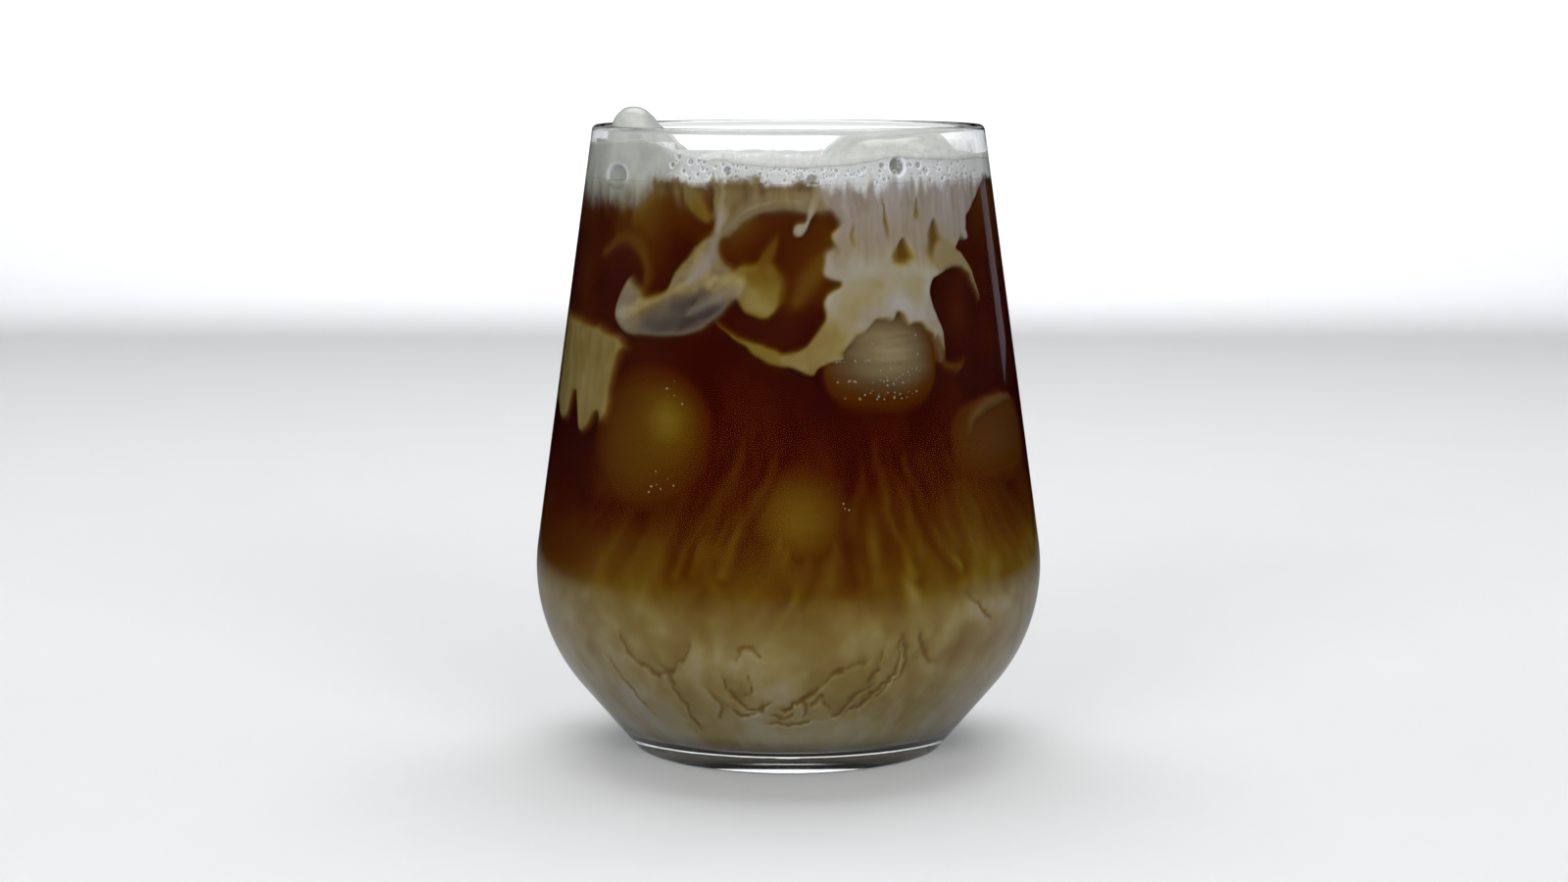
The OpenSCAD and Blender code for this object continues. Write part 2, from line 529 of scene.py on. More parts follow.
def beside(line, u, z, pad=9):
    """Which points lie near a line's own box."""
    return ((u > line[:, 0].min() - pad) & (u < line[:, 0].max() + pad)
            & (z > line[:, 1].min() - pad) & (z < line[:, 1].max() + pad))


def patch(points, u, z):
    """Distance to a closed outline, negative inside it."""
    line = curve(points, True)
    pick = beside(line, u, z)
    out = np.full(u.shape, 99.0, np.float32)
    gap = near(line, u[pick], z[pick], True)[0]
    out[pick] = np.where(inside(line, u[pick], z[pick]), -gap, gap)
    return out


def strand(points, u, z):
    """Distance to a strand of changing half-width, the way along it, and the side of it."""
    line = curve(points, False)
    pick = beside(line, u, z)
    out = np.full(u.shape, 99.0, np.float32)
    way = np.zeros(u.shape, np.float32)
    side = np.zeros(u.shape, np.float32)
    out[pick], way[pick], side[pick] = near(line, u[pick], z[pick], False)
    return out, way, side


# Outlines and lines of the pattern: angle in degrees and height in mm, and for a line its
# half-width in mm as well
BILLOW = [(12, 90), (13.5, 87), (10.6, 86.6), (9.4, 85), (11, 83.6), (14.6, 83.2), (14.6, 82),
          (11, 81), (9.6, 78.5), (8.8, 76), (4, 72.8), (-3, 70.9), (-2, 69.3), (3, 67.8),
          (6.5, 67.9), (8.5, 69), (11.5, 70), (15, 71.6), (18.5, 74), (22, 75.9), (25.5, 76.4),
          (28, 76), (29.3, 77.4), (31, 77.2), (32.5, 75.8), (35, 76.2), (38, 75.4), (40.5, 73),
          (42.5, 69), (45, 70), (44.5, 75), (42, 79.5), (43, 82), (48, 84), (52, 86), (56, 92),
          (40, 94), (24, 94)]
PLUME = [(-16, 97), (-15.5, 93), (-18, 88.5), (-17, 86), (-13, 84.3), (-10.5, 82.3), (-12, 80.3),
         (-15, 78.2), (-19, 76), (-24, 74), (-29, 73.1), (-34, 72.8), (-41, 73.2), (-47, 73.6),
         (-51, 75), (-52.8, 77.5), (-51, 80.6), (-47.5, 82.8), (-44, 81.2), (-40, 80.2),
         (-36, 80.8), (-33.5, 83), (-30.5, 85.3), (-25.5, 88.6), (-21.5, 90.2), (-19.5, 93),
         (-20.5, 97)]
GOLD = [(-13.5, 85), (-9, 85.8), (-5, 85.9), (-2.6, 85), (-1.6, 82.6), (-2.6, 79.4),
        (-4.6, 76.9), (-8, 76.2), (-11.5, 77.2), (-13.4, 79.6), (-14.5, 82.4)]
SHELF = [(-103, 70), (-97, 73.5), (-88, 75.3), (-78, 75.5), (-66, 75), (-55, 74.2), (-48, 73),
         (-45.5, 71.2), (-48.5, 69), (-50.5, 65.5), (-50.8, 62), (-51.6, 59), (-53.6, 58.1),
         (-55.6, 59.5), (-57.5, 57.4), (-61.5, 55.7), (-65, 57), (-67.5, 61.5), (-69.5, 61.8),
         (-71.5, 58), (-78, 57), (-84, 59.5), (-89, 59), (-95, 62.5), (-100, 66)]
WRINKLES = [
    [(-16, 19, .05), (-14.5, 15.5, .22), (-11.5, 13.6, .2), (-8.5, 13.4, .25), (-6.5, 14.4, .3),
     (-4, 14.6, .1)],
    [(-2, 13.4, .1), (1, 14, .3), (4.5, 16, .3), (7, 17.6, .1)],
    [(6, 14.6, .3), (8.5, 15.6, .3), (10, 13.2, .1)],
    [(8, 18, .1), (13, 20.6, .2), (18, 21.6, .05)],
    [(16, 12.6, .1), (19, 14.4, .22), (22, 16.6, .3), (26, 18.6, .1)],
    [(-33, 20.5, .05), (-30, 18.6, .2), (-29, 15.6, .25), (-28.5, 12.6, .2), (-27, 9, .12)],
    [(-42, 25, .1), (-39.5, 21, .18), (-34, 18.6, .2), (-27, 20.4, .2), (-23.5, 24.5, .1)],
    [(26, 26, .2), (28, 23.6, .35), (28.5, 20.6, .25), (27, 18.4, .1)],
    [(31, 25.4, .2), (33.5, 22.6, .3), (36, 20, .15)],
    [(40, 34, .2), (47, 30, .25), (52, 26.5, .15)],
    [(-12, 22.5, .1), (-9, 24.6, .25), (-6, 22.6, .1)],
    [(-15, 12.8, .08), (-12, 12, .2), (-9, 12.6, .15)],
    [(-10.5, 15.6, .1), (-9, 17, .15), (-8.5, 18.8, .05)],
    [(-4, 12.2, .08), (-1.5, 11.8, .18), (1, 12.6, .12)],
    [(3, 14.4, .15), (4.6, 13.4, .2), (4.2, 12.2, .1)],
    [(12, 12, .1), (15, 13.6, .22), (17.5, 16, .2), (20, 17.2, .1)],
    [(19, 17.8, .1), (21.5, 20.4, .15), (22, 23, .05)],
    [(23, 15, .1), (25.5, 17.8, .2), (27, 21.5, .2), (26, 25, .1)],
    [(-20, 16, .05), (-18.5, 13.5, .15), (-19.5, 11, .1)],
    [(-48, 20, .08), (-44, 15, .12), (-41, 11, .1)],
    [(120, 17, .1), (128, 14, .25), (137, 16.5, .25), (146, 14.5, .1)],
    [(160, 20, .1), (166, 16, .2), (176, 14.8, .3), (184, 17, .2), (189, 21, .05)],
    [(-112, 21, .1), (-118, 16, .25), (-128, 14.6, .2), (-136, 18, .1)],
    [(-6, 10.8, .05), (0, 10.6, .18), (8, 10.9, .05)],
]
STREAMS = [
    [(-4, 66, .1), (-9, 59, .3), (-13.5, 51, .4), (-18, 43, .3), (-22, 36, .1)],
    [(-8, 63, .1), (-12, 56, .3), (-17, 48.5, .35), (-22, 41, .3), (-26, 35, .1)],
    [(0, 60, .1), (-5, 52, .3), (-10, 44, .4), (-14, 36, .2)],
    [(15, 62, .1), (17, 53, .3), (15, 44, .4), (16, 36, .3)],
    [(20, 60, .1), (22.5, 51, .3), (25, 43, .3), (30, 35, .2)],
    [(27, 58, .1), (31, 50, .3), (36, 42, .3), (43, 35, .2)],
]
# Fans of fine streaks: direction, height of their top, and how they turn
FANS = [(-10, 66, -0.5), (14, 60, 0.1), (33, 62, 0.4), (150, 62, 0.2), (-140, 64, -0.2)]
# Golden haze: direction, height, half-width and half-height in mm, and change of the cover
HAZE = [(12, 91, 9, 7, -2.2), (6, 82, 7, 5, -3.2), (-14, 90, 6, 4, -2.5), (-44, 92, 7, 5, -2.6),
        (44, 90, 4, 5, -4.0), (30, 86, 5, 4, -3.5), (-8, 60, 8, 10, -0.8), (52, 76, 4, 5, -2.6)]
# Openings in the curtain: direction, height of the foot, half-width, height and cover
OPENINGS = [(32.5, 85.6, 2.5, 3.9, 5.2), (44.3, 85.8, 2.6, 6.4, 4.6), (27.5, 90, 0.5, 6, 3.2),
            (38, 92, 0.7, 3.5, 3.2), (18, 88.5, 0.7, 3.5, 2.6)]

# Ice under the surface: direction and height of its middle, half-width, half-height and
# half-depth, cover of its nearest point, the power that squares its outline, how steeply it
# falls away, cover added at its foot, how cool it looks, and its swellings towards the wall
# (direction, height, radius and how far)
SUNK = {
    "a": dict(theta=25, height=69.2, wide=10.8, high=8.8, deep=5, cover=4.0, power=2.6, fall=1.1,
              melt=3.6, cool=0.5, swells=((28, 71, 6.5, 2.0), (22, 74, 4, 0.6))),
    "b": dict(theta=-37.5, height=56.5, wide=12.8, high=12.6, deep=4.5, cover=5.9, power=2.0,
              fall=2.2, melt=0.0, cool=0.0, swells=((-30.5, 60.3, 5.2, 2.9), (-40, 54, 6, 0.4))),
    "c": dict(theta=2.5, height=44.5, wide=9.2, high=9.2, deep=5.6, cover=3.9, power=2.0,
              fall=1.1, melt=0.0, cool=0.0, swells=()),
    "d": dict(theta=63, height=54.6, wide=12.5, high=7.6, deep=4, cover=6.0, power=3.2, fall=1.1,
              melt=1.2, cool=0.5, swells=()),
}

# Groups of air bubbles by the ice: direction and height, width and height in mm, how many
SPECKS = [(25, 64.2, 8, 0.8, 24), (30, 68.5, 4, 6, 26), (19, 69.8, 9, 0.3, 16),
          (22, 66.6, 10, 0.3, 12), (-33, 50, 3, 1.2, 9), (-31, 64, 2, 2, 5), (13, 47, 1, 1, 3)]


def front(ice, u, z):
    """How far the front of one piece of sunk ice lies in from the wall, and its outline."""
    q = np.abs((u - ice["theta"] * ARC) / ice["wide"])**ice["power"]
    q = q + np.abs((z - ice["height"]) / ice["high"])**ice["power"]
    if ice["power"] > 2:
        over = ice["cover"] + ice["deep"] * (1 - np.clip(1 - q, 0, 1)**(1 / ice["power"]))
    else:
        over = ice["cover"] + ice["deep"] * np.clip(q, 0, 1)**ice["fall"]
    for at, level, size, push in ice["swells"]:
        over = over - push * np.exp(-((u - at * ARC)**2 + (z - level)**2) / size**2)
    # Melting from below: the lower part lies under more coffee
    over = over + ice["melt"] * smooth(ice["height"], ice["height"] - ice["high"], z)
    return over, q


def ice_cover(u, z):
    """Cover of coffee over the nearest sunk ice, and how cool that ice looks."""
    best = np.full(u.shape, 99.0, np.float32)
    tint = np.zeros(u.shape, np.float32)
    for ice in SUNK.values():
        over, q = front(ice, u, z)
        over = np.where(q < 1, over, 99)
        tint = np.where(over < best, ice["cool"] * smooth(7, 3, over), tint)
        best = np.minimum(best, over)
    return best, tint


def scratches(u, z):
    """Noise in long level lines, as on half-melted ice."""
    return fractal(np.stack([u / 5, z / 0.5, u * 0], -1).reshape(-1, 3), 147, 3).reshape(z.shape)


class Pattern:
    """The milk in the coffee, on the unrolled wall.

    cover is the depth of coffee over the milk in mm, and cool is how cool the milk looks, from
    0 to 1. Each part of the pattern is a method that lays it over what is there already.
    """

    def __init__(self, theta, height):
        self.theta = theta
        self.height = height
        self.along = theta * ARC
        self.place = around(38, theta, height).astype(np.float32)
        self.swirl_u = fractal(self.place / 9, 11, 3)
        self.swirl = fractal(self.place / 9, 31, 3) * 0.8
        self.ripple_u = fractal(self.place / 2.2, 51, 2) * 0.35
        self.ripple = fractal(self.place / 2.2, 71, 2) * 0.3
        # Places on the wall, stirred a little, on which most of the pattern lies
        self.u = self.along + self.swirl_u * 0.6 + self.ripple_u
        self.z = height + self.swirl * 0.6 + self.ripple
        self.flat = self.u * 0
        self.space = np.stack([self.place[:, 0] + self.swirl_u * 3,
                               self.place[:, 1] + self.swirl * 3, height + self.swirl * 2], 1)
        self.drift = fractal(self.space / 5, 173, 2)
        self.folds = self.grain(1.1, 14, 211, 4)
        self.cover = self.flat
        self.cool = self.flat

    def grain(self, wide, tall, seed, octaves):
        """Noise on the wall, its cells wide and tall in mm."""
        return fractal(np.stack([self.u / wide, self.z / tall, self.flat], 1), seed, octaves)

    def hem(self, wide, seed):
        """Noise that differs only round the wall."""
        return noise(np.stack([self.u / wide, self.flat, self.flat], 1), seed)

    def lay(self, cover, share, cool=None):
        self.cover = lay(self.cover, cover, share)
        if cool is not None:
            self.cool = lay(self.cool, cool, share)

    def stroke(self, line, cover, soft, share=1.0, cool=None):
        """Lays a strand; soft is how far outside its edge it starts and how far in it is whole."""
        gap = strand(line, self.u, self.z)[0]
        self.lay(cover, share * smooth(soft[0], -soft[1], gap), cool)

    def coffee(self):
        """Dark coffee, paler towards the bottom."""
        turned = np.abs(self.theta)
        z = self.height
        v = np.interp(z + self.swirl * 1.5,
                      [0, 8, 18, 25, 29, 31.5, 34, 38, 44, 50, 58, 68, 80, 92, 98],
                      [0.8, 1.0, 1.6, 2.0, 2.5, 3.4, 4.4, 5.2, 6.6, 8.6, 10.7, 11.9, 10.8, 8.4, 6.2])
        v = v.astype(np.float32)
        band = smooth(22, 30, z) * smooth(46, 36, z)
        v += 1.3 * np.exp(-(self.theta / 24)**2) * band
        v -= 0.9 * smooth(30, 60, turned) * band
        cloud = fractal(self.space * np.array([1 / 7, 1 / 7, 1 / 16]), 101, 3)
        v += cloud * np.interp(z, [0, 25, 40, 60, 98], [0.5, 0.7, 1.0, 1.3, 1.8])
        self.cover = v
        self.cool = np.interp(z, [0, 20, 31], [0.1, 0.03, 0.0]).astype(np.float32)
        self.cool += 0.3 * smooth(30, 80, turned) * smooth(33.5, 31, z + self.swirl)

    def fans(self):
        """Fans of fine streaks in the middle and lower part."""
        for at, top, turn in FANS:
            fan = np.arctan2(self.u - at * ARC, top - self.z + 12)
            streak = noise(np.stack([fan * 16 + turn, self.height / 22, self.flat + at], 1), 131)
            streak += 0.6 * noise(np.stack([fan * 37, self.height / 14, self.flat + at], 1), 137)
            mask = smooth(1.0, 0.35, np.abs(fan - turn * 0.5))
            mask = mask * smooth(top, top - 10, self.height) * smooth(27, 34, self.height)
            self.cover += streak * 0.8 * mask

    def flanks(self):
        """Darker coffee at the left and right."""
        theta = self.theta
        z = self.height
        left = smooth(-48, -62, theta) * smooth(-99, -76, theta)
        right = smooth(48, 60, theta) * smooth(200, 130, theta)
        self.cover += 3.2 * left * smooth(30, 36, z) * smooth(75, 60, z)
        self.cover += 1.6 * right * smooth(34, 44, z) * smooth(75, 60, z)
        belt = np.exp(-((z + self.swirl - 44.5) / 3.2)**2)
        self.cover += 2.6 * belt * smooth(-66, -56, theta) * smooth(-20, -30, theta)

    def haze(self):
        """Golden haze in the upper coffee."""
        for at, level, wide, tall, change in HAZE:
            q = ((self.u - at * ARC) / wide)**2 + ((self.z - level) / tall)**2
            self.cover += change * np.exp(-q * 1.2)

    def sunk_ice(self):
        """Sunk ice glows through, and the piece at the upper right is scratched."""
        ice, tint = ice_cover(self.along, self.height)
        dome = smooth(10.5, 9.0, np.hypot(self.along - 25 * ARC, self.height - 70))
        cover = ice + scratches(self.along, self.height) * 0.35 * dome
        self.cool = lay(self.cool, tint, smooth(7.5, 5.5, cover))
        self.cover = np.minimum(self.cover, cover)

    def streams(self):
        """Fine streams that run down and fan out between the balls of ice."""
        fade = smooth(61, 52, self.z)
        for line in STREAMS:
            gap = strand(line, self.u, self.z)[0]
            self.cover -= 1.15 * fade * smooth(1.0, -0.6, gap) * smooth(11.5, 9, self.cover)
            self.cover += 0.7 * fade * np.exp(-((gap - 1.2) / 0.7)**2)

    def slants(self):
        """Thin arc of milk at the left, and a golden slant in the middle."""
        self.stroke([(-62, 86, .5), (-57, 88, .7), (-51, 88.6, .8), (-46, 87.6, .8),
                     (-42.5, 85.4, .8), (-41.5, 83, .6), (-43, 81, .3)], 4.6, (1.3, 0.6), 0.8)
        self.stroke([(10, 85.7, 1.2), (5, 82.5, 1.6), (0.5, 79.5, 1.0)], 4.2, (1.6, 1.2), 0.8)

    def shelf(self):
        """Shelf of milk at the left, which fades towards the back."""
        gap = patch(SHELF, self.u, self.z)
        grain = self.grain(2.0, 9, 151, 3)
        share = smooth(0.8, -1.2, gap) * smooth(-101, -80, self.theta)
        self.lay(2.1 + grain * 0.28 + 0.25 * self.drift, share, 0.1)

    def gold(self):
        """Golden lobe and its wisp."""
        gap = patch(GOLD, self.u, self.z)
        self.lay(2.7 + 0.9 * fractal(self.space / 3, 161, 2), smooth(0.5, -0.9, gap))
        self.stroke([(-6.5, 85.5, 1.0), (-4.5, 87.5, .6), (-3.5, 89.5, .25)], 4.0, (0.6, 0.5), 0.9)

    def plume(self):
        """Plume at the left, with a lobe of painted shade, a pale rim of painted highlight and a cool
        pale strand of painted highlight.
        """
        gap = patch(PLUME, self.u, self.z)
        flow = np.radians(40)
        down = self.u * np.cos(flow) + self.z * np.sin(flow)
        aside = self.z * np.cos(flow) - self.u * np.sin(flow)
        grain = fractal(np.stack([down / 6.5 + self.drift * 0.4, (aside + self.drift * 2.2) / 1.7,
                                  self.flat], 1), 171, 3)
        # The lobe is painted shade: darker and cooler, most towards its right
        off = self.u + 28 * ARC
        rise = self.z - 76.5 - off * 0.24
        lobe = ((off + 1.5 * self.drift) / 10)**2 + ((rise - 1.1 * self.drift) / 3.2)**2
        lobe = smooth(2.3, -0.2, lobe + 0.45 * grain) * (0.95 + 0.25 * grain)
        lobe = lobe * (1 + 0.25 * smooth(-34, -22, self.theta))
        tip = smooth(-42, -48, self.theta)
        self.lay(1.75 + grain * 0.8 + 4.3 * lobe, smooth(0.9, -1.5, gap),
                 0.2 + 0.3 * grain + 0.9 * lobe + 0.4 * tip)
        # Pale rim along the inside of the plume's edge: painted highlight
        edge = np.exp(-((gap + 0.7) / 0.6)**2) * smooth(90, 86, self.z)
        self.lay(1.2, 0.55 * edge)
        self.stroke([(-18.6, 99, 2.0), (-18.3, 95, 1.4), (-18.4, 91.5, 1.0), (-20.2, 87.4, 1.0),
                     (-23, 85, 1.3), (-27, 82.5, .6)], 1.2 + 0.4 * grain, (0.8, 0.8), 0.85, 0.85)
        # Cool pale strand along the top of the lobe: painted highlight
        self.stroke([(-27, 77.4, .4), (-21.5, 79, .8), (-16.5, 80.4, .8), (-13.5, 81.3, .4)],
                    1.7, (0.9, 0.8), 0.7, 0.85)

    def band(self):
        """Band over the arch, and a drop on a thread."""
        mist = np.exp(-((self.u + 5 * ARC) / 9)**2) * smooth(91, 96, self.z)
        self.cover -= mist * (2.0 + self.grain(1.1, 9, 215, 3))
        self.cool = lay(self.cool, 0.5, mist)
        gap, way, _ = strand([(-16, 90.5, 1.2), (-13.5, 92.4, 1.3), (-9, 94.3, 1.5),
                              (-2, 95.3, 1.6), (5, 95.1, 1.6), (11, 95.5, 2)], self.u, self.z)
        grain = fractal(np.stack([way / 6, gap / 0.8, self.flat], 1), 181, 3)
        self.lay(1.7 + grain * 0.9, 0.9 * smooth(1.0, -0.7, gap), 0.55)
        self.stroke([(9, 97, 1.1), (7.8, 94.7, .8), (6, 92.6, .6), (4, 91.3, .8), (2.6, 90.7, 1.2)],
                    0.9, (0.35, 0.4), 1.0, 0.5)

    def ribbon(self):
        """Ribbon from the plume to the billow, and a finger at its end."""
        self.stroke([(-19, 75.6, .2), (-15, 74, .4), (-11, 72.6, .7), (-7, 71.2, 1.2),
                     (-2, 70.1, 1.3)], 2.6, (0.5, 0.5))
        self.stroke([(14, 70.7, .45), (11, 70.6, .7), (8, 69.6, .6)], 1.6, (0.35, 0.4))

    def billow(self):
        """Billow under the curtain, golden at its lower left, and the bulge at its upper left."""
        gap = patch(BILLOW, self.u, self.z)
        grain = self.grain(4, 3.4, 191, 3)
        pale = np.exp(-((gap + 1.2) / 1.3)**2)
        pale = pale * smooth(84, 79, self.z) * smooth(16, 20, self.theta)
        tail = smooth(24, 8, self.theta) * smooth(80, 74, self.z)
        lower = 0.05 * np.clip(84 - self.z, 0, 9) + 0.9 * tail
        self.lay(0.55 + grain * 0.4 - 0.3 * pale + lower, smooth(0.45, -0.6, gap), 0.1 + 0.5 * pale)
        self.stroke([(11.6, 86.4, 1.7), (13, 84.8, 1.9), (16, 84.4, 1.5), (18, 85.4, .8)],
                    0.7, (0.5, 1.0), 0.9, 0.55)

    def curtain(self):
        """Curtain that hangs from the froth, with golden openings."""
        left = np.interp(self.height, [84, 86, 88, 91, 94, 98], [15, 12, 12, 14.5, 12.5, 7.5])
        right = np.interp(self.height, [86, 88, 92, 98], [50, 56, 60, 74])
        low = 88 + 1.6 * self.hem(3.2, 201)
        broad = self.grain(4.2, 11, 221, 2)
        share = smooth(-1.2, 1.0, self.u - left * ARC) * smooth(1.0, -1.2, self.u - right * ARC)
        share = share * smooth(low - 3.5, low + 1.5, self.z + self.folds * 1.2)
        below = 98 - self.height
        self.lay(0.85 + self.folds * 0.34 + broad * 0.3 + 0.07 * below,
                 share * (0.97 - 0.05 * self.folds))
        self.cool = lay(self.cool, 1.0 - 0.03 * below, share)
        for at, foot, wide, tall, cover in OPENINGS:
            up = (self.z - foot) / tall
            q = np.abs(self.u - at * ARC) / (wide * np.clip(1 - up, 0.02, 1)**0.8)
            share = 0.95 * smooth(1.5, 0.1, q) * smooth(-0.35, 0.3, up) * smooth(1.0, 0.9, up)
            self.lay(cover, share, 0.05)

    def hook(self):
        """Arc over the sunk ice at the right, and the hook that ends the billow."""
        self.stroke([(50, 57, .2), (52.5, 59.0, .5), (56, 60.4, .9), (61, 61.6, 1.1),
                     (68, 62.2, 1.0), (76, 61.5, .2)], 3.5, (1.0, 0.9), 0.75, 0.25)
        self.stroke([(42, 73, .4), (43.4, 70, .7), (45.5, 68.2, .9), (48.5, 67.6, .9),
                     (51, 68, .6), (53.5, 69, .2)], 5.4, (0.8, 0.6), 0.85)
        finger = smooth(74, 70.5, self.z) * smooth(65, 67.5, self.z)
        finger = finger * smooth(38, 40, self.theta) * smooth(46.5, 44.5, self.theta)
        finger = finger * (self.cover < 4)
        self.cover += 1.4 * finger
        self.cool = lay(self.cool, 0.05, finger)

    def tail(self):
        """Tail and drip at the right."""
        self.stroke([(47, 86, 2.4), (51.5, 85.6, 1.8), (55.5, 84.4, 1.2), (58.5, 82.4, .8),
                     (60.5, 80, .6), (62, 78, .3)], 1.8, (0.5, 0.6), 1.0, 0.35)
        self.stroke([(58, 97, 1.3), (57.5, 93, 1.1), (57, 90.5, .9), (57.5, 89, 1.0)],
                    0.8, (0.4, 0.5), 1.0, 0.9)

    def fringe(self):
        """Milk that hangs under the froth at the left."""
        low = 95.2 + 2.0 * self.hem(3, 241)
        share = 0.8 * smooth(low - 2.5, low + 2, self.z)
        share = share * smooth(-96, -70, self.theta) * smooth(14, 4, self.theta)
        self.lay(2.9 + self.folds * 1.1, share, 0.35)
        self.stroke([(-30, 98, 1.6), (-27, 95, 1.8), (-24, 93.2, 1.4), (-21, 92.8, .8)],
                    2.4 + self.folds * 0.6, (0.8, 0.8), 0.8)

    def settled(self):
        """Settled milky coffee: smoke-like swirls and thin dark wrinkles, each with painted shade on
        one side and painted light on the other.
        """
        share = smooth(33, 29, self.height)
        tiny = fractal(self.place / 0.9, 261, 2) * 0.3 * share
        u = self.along + self.ripple_u * 1.6 + tiny
        z = self.height + self.ripple * 1.6 - tiny
        self.cover += share * fractal(self.space / 5.5, 251, 4) * 0.55
        for line in WRINKLES:
            gap, _, side = strand(line, u, z)
            # Painted shade on one side of each wrinkle and painted light on the other
            self.cover += share * side * 0.42 * np.exp(-np.clip(gap, 0, 9) / 0.8)
            self.lay(4.8, share * 0.6 * smooth(0.2, -0.12, gap))


# Parts of the pattern, from the ones behind to the ones in front
PARTS = (Pattern.coffee, Pattern.fans, Pattern.flanks, Pattern.haze, Pattern.sunk_ice,
         Pattern.streams, Pattern.slants, Pattern.shelf, Pattern.gold, Pattern.plume,
         Pattern.band, Pattern.ribbon, Pattern.billow, Pattern.curtain, Pattern.hook,
         Pattern.tail, Pattern.fringe, Pattern.settled)


def veil(theta, z, relief):
    """Depth of coffee over the milk, how cool the milk looks, and depth of the skin itself."""
    milk = Pattern(theta.ravel().astype(np.float32), z.ravel().astype(np.float32))
    for part in PARTS:
        part(milk)
    v = np.clip(milk.cover, 0, DEEPEST)
    ice = ice_cover(milk.along, milk.height)[0]
    # The skin lies deeper under more coffee, and makes room for ice that no milk covers
    depth = 0.18 + relief * v + 0.35 * smooth(0.5, 0.0, np.abs(ice - v)) * (ice < 7)
    return v.reshape(z.shape), np.clip(milk.cool, 0, 1).reshape(z.shape), depth.reshape(z.shape)


def froth_edge(theta):
    """Height at which the froth meets the wall."""
    t = (theta + 180) % 360 - 180
    stops = [-180, -120, -95, -75, -60, -48, -42, -36, -30, -24, -15, -5, 5, 14, 22, 28, 33, 38,
             44, 52, 65, 90, 130, 180]
    highs = [101.4, 101.6, 103.2, 104.0, 104.6, 105.0, 104.6, 103.6, 102.8, 102.3, 101.8, 101.4,
             101.2, 101.4, 102.0, 102.5, 102.9, 102.6, 102.3, 102.2, 102.0, 101.8, 101.6, 101.4]
    p3 = around(33, t, t * 0).reshape(-1, 3)
    return np.interp(t, stops, highs) + fractal(p3 / 3.5, 481, 2).reshape(t.shape) * 0.18


def froth_bottom(theta, z):
    """How far the froth's own colour runs down into the drink, from 0 to 1, and the glaze."""
    turn = (theta + 180) % 360 - 180
    p3 = around(36, turn, z).reshape(-1, 3)
    threads = fractal(p3 * np.array([0.9, 0.9, 0.11]), 491, 3).reshape(z.shape)
    swags = fractal(p3 * np.array([0.33, 0.33, 0.2]), 499, 3).reshape(z.shape)
    specks = fractal(p3 / 0.7, 497, 2).reshape(z.shape)
    ice = smooth(-38, -50, turn) * smooth(-105, -90, turn)
    hang = smooth(4, 16, turn) * smooth(75, 60, turn)
    low = 97.7 - 1.2 * hang - 4.9 * ice
    high = 99.5 - 0.1 * hang + 0.2 * ice
    ragged = threads * (0.3 + 1.1 * hang + 0.2 * ice) + swags * (1.1 - 0.4 * hang - 0.5 * ice)
    bare = smooth(low, high, z + ragged + specks * 0.3)
    line = np.interp(z, [92, 99.5, 101, 106], [-37, -35, -31.5, -43])
    return bare, smooth(1.2, -1.2, (turn - line) * 0.6 + threads * 0.6) * smooth(-108, -92, turn)


# Large bubbles against the wall: angle, height and radius
BUBBLES = [(32.5, 100.8, 1.6), (6.5, 98.9, 0.95), (-17.5, 100.2, 0.85), (40, 100.9, 0.62),
           (42.5, 100, 0.7), (27.5, 101, 0.62), (-25, 100.6, 0.5), (-29, 101.6, 0.55),
           (-31, 100.1, 0.45), (-33, 102.3, 0.5), (-35, 101, 0.5), (-22, 99.6, 0.45),
           (-8, 99.9, 0.42), (-12, 100.7, 0.35), (0, 99.8, 0.3), (12, 99.4, 0.4), (18, 99.6, 0.4),
           (22, 100.6, 0.42), (48, 100.8, 0.45), (52, 100, 0.5), (-58, 98.8, 1.9)]


def bubbles(theta, z):
    """Depth of the pits, the bright rims of painted highlight and the glassy middles of bubbles at
    the wall.
    """
    draw = np.random.default_rng(77)
    small = []
    for _ in range(760):
        at = draw.uniform(-180, 180)
        size = 0.13 + 0.3 * draw.random()**3
        top = froth_edge(np.array([at]))[0] - 0.4
        high = 98.4 + draw.random()**1.5 * (top - 98.4)
        if not -100 < at < np.interp(high, [98, 101, 106], [-37, -33, -44]):
            small.append((at, high, size))
    for _ in range(75):
        at = draw.uniform(-34, 62)
        size = draw.uniform(0.24, 0.46)
        small.append((at, draw.uniform(98.6, froth_edge(np.array([at]))[0] - 0.5), size))
    pit = np.zeros(z.shape)
    rim = np.zeros(z.shape)
    disc = np.zeros(z.shape)
    turn = (theta + 180) % 360 - 180
    for at, high, size in BUBBLES + small:
        # The large one near the outline is wider, and looks round from the front
        large = size > 1.7
        pick = (np.abs(turn[0] - at) * ARC < size * (2.6 if large else 1.6) + 0.2)
        if not pick.any():
            continue
        du = (turn[:, pick] - at) * RIM_ARC * (0.61 if large else 1)
        q = np.hypot(du, z[:, pick] - high) / size
        pit[:, pick] = np.maximum(pit[:, pick], 0.55 * size * np.sqrt(np.clip(1 - q**2, 0, 1)))
        # Each bubble's bright rim is a painted highlight
        edge = np.exp(-((q - 1.02) / 0.16)**2)
        middle = smooth(0.95, 0.75, q) * min(1, 0.45 + size * 0.4)
        if large:
            # A large thin one: faint ring of painted highlight, and a dark crescent of painted shade
            # at its foot
            foot = smooth(-0.2, -0.9, (z[:, pick] - high) / size)
            middle = middle * 0.22 + edge * foot
            edge = edge * 0.75 * (1 - foot)
        rim[:, pick] = np.maximum(rim[:, pick], edge * 0.8)
        disc[:, pick] = np.maximum(disc[:, pick], middle)
    return pit, rim, disc


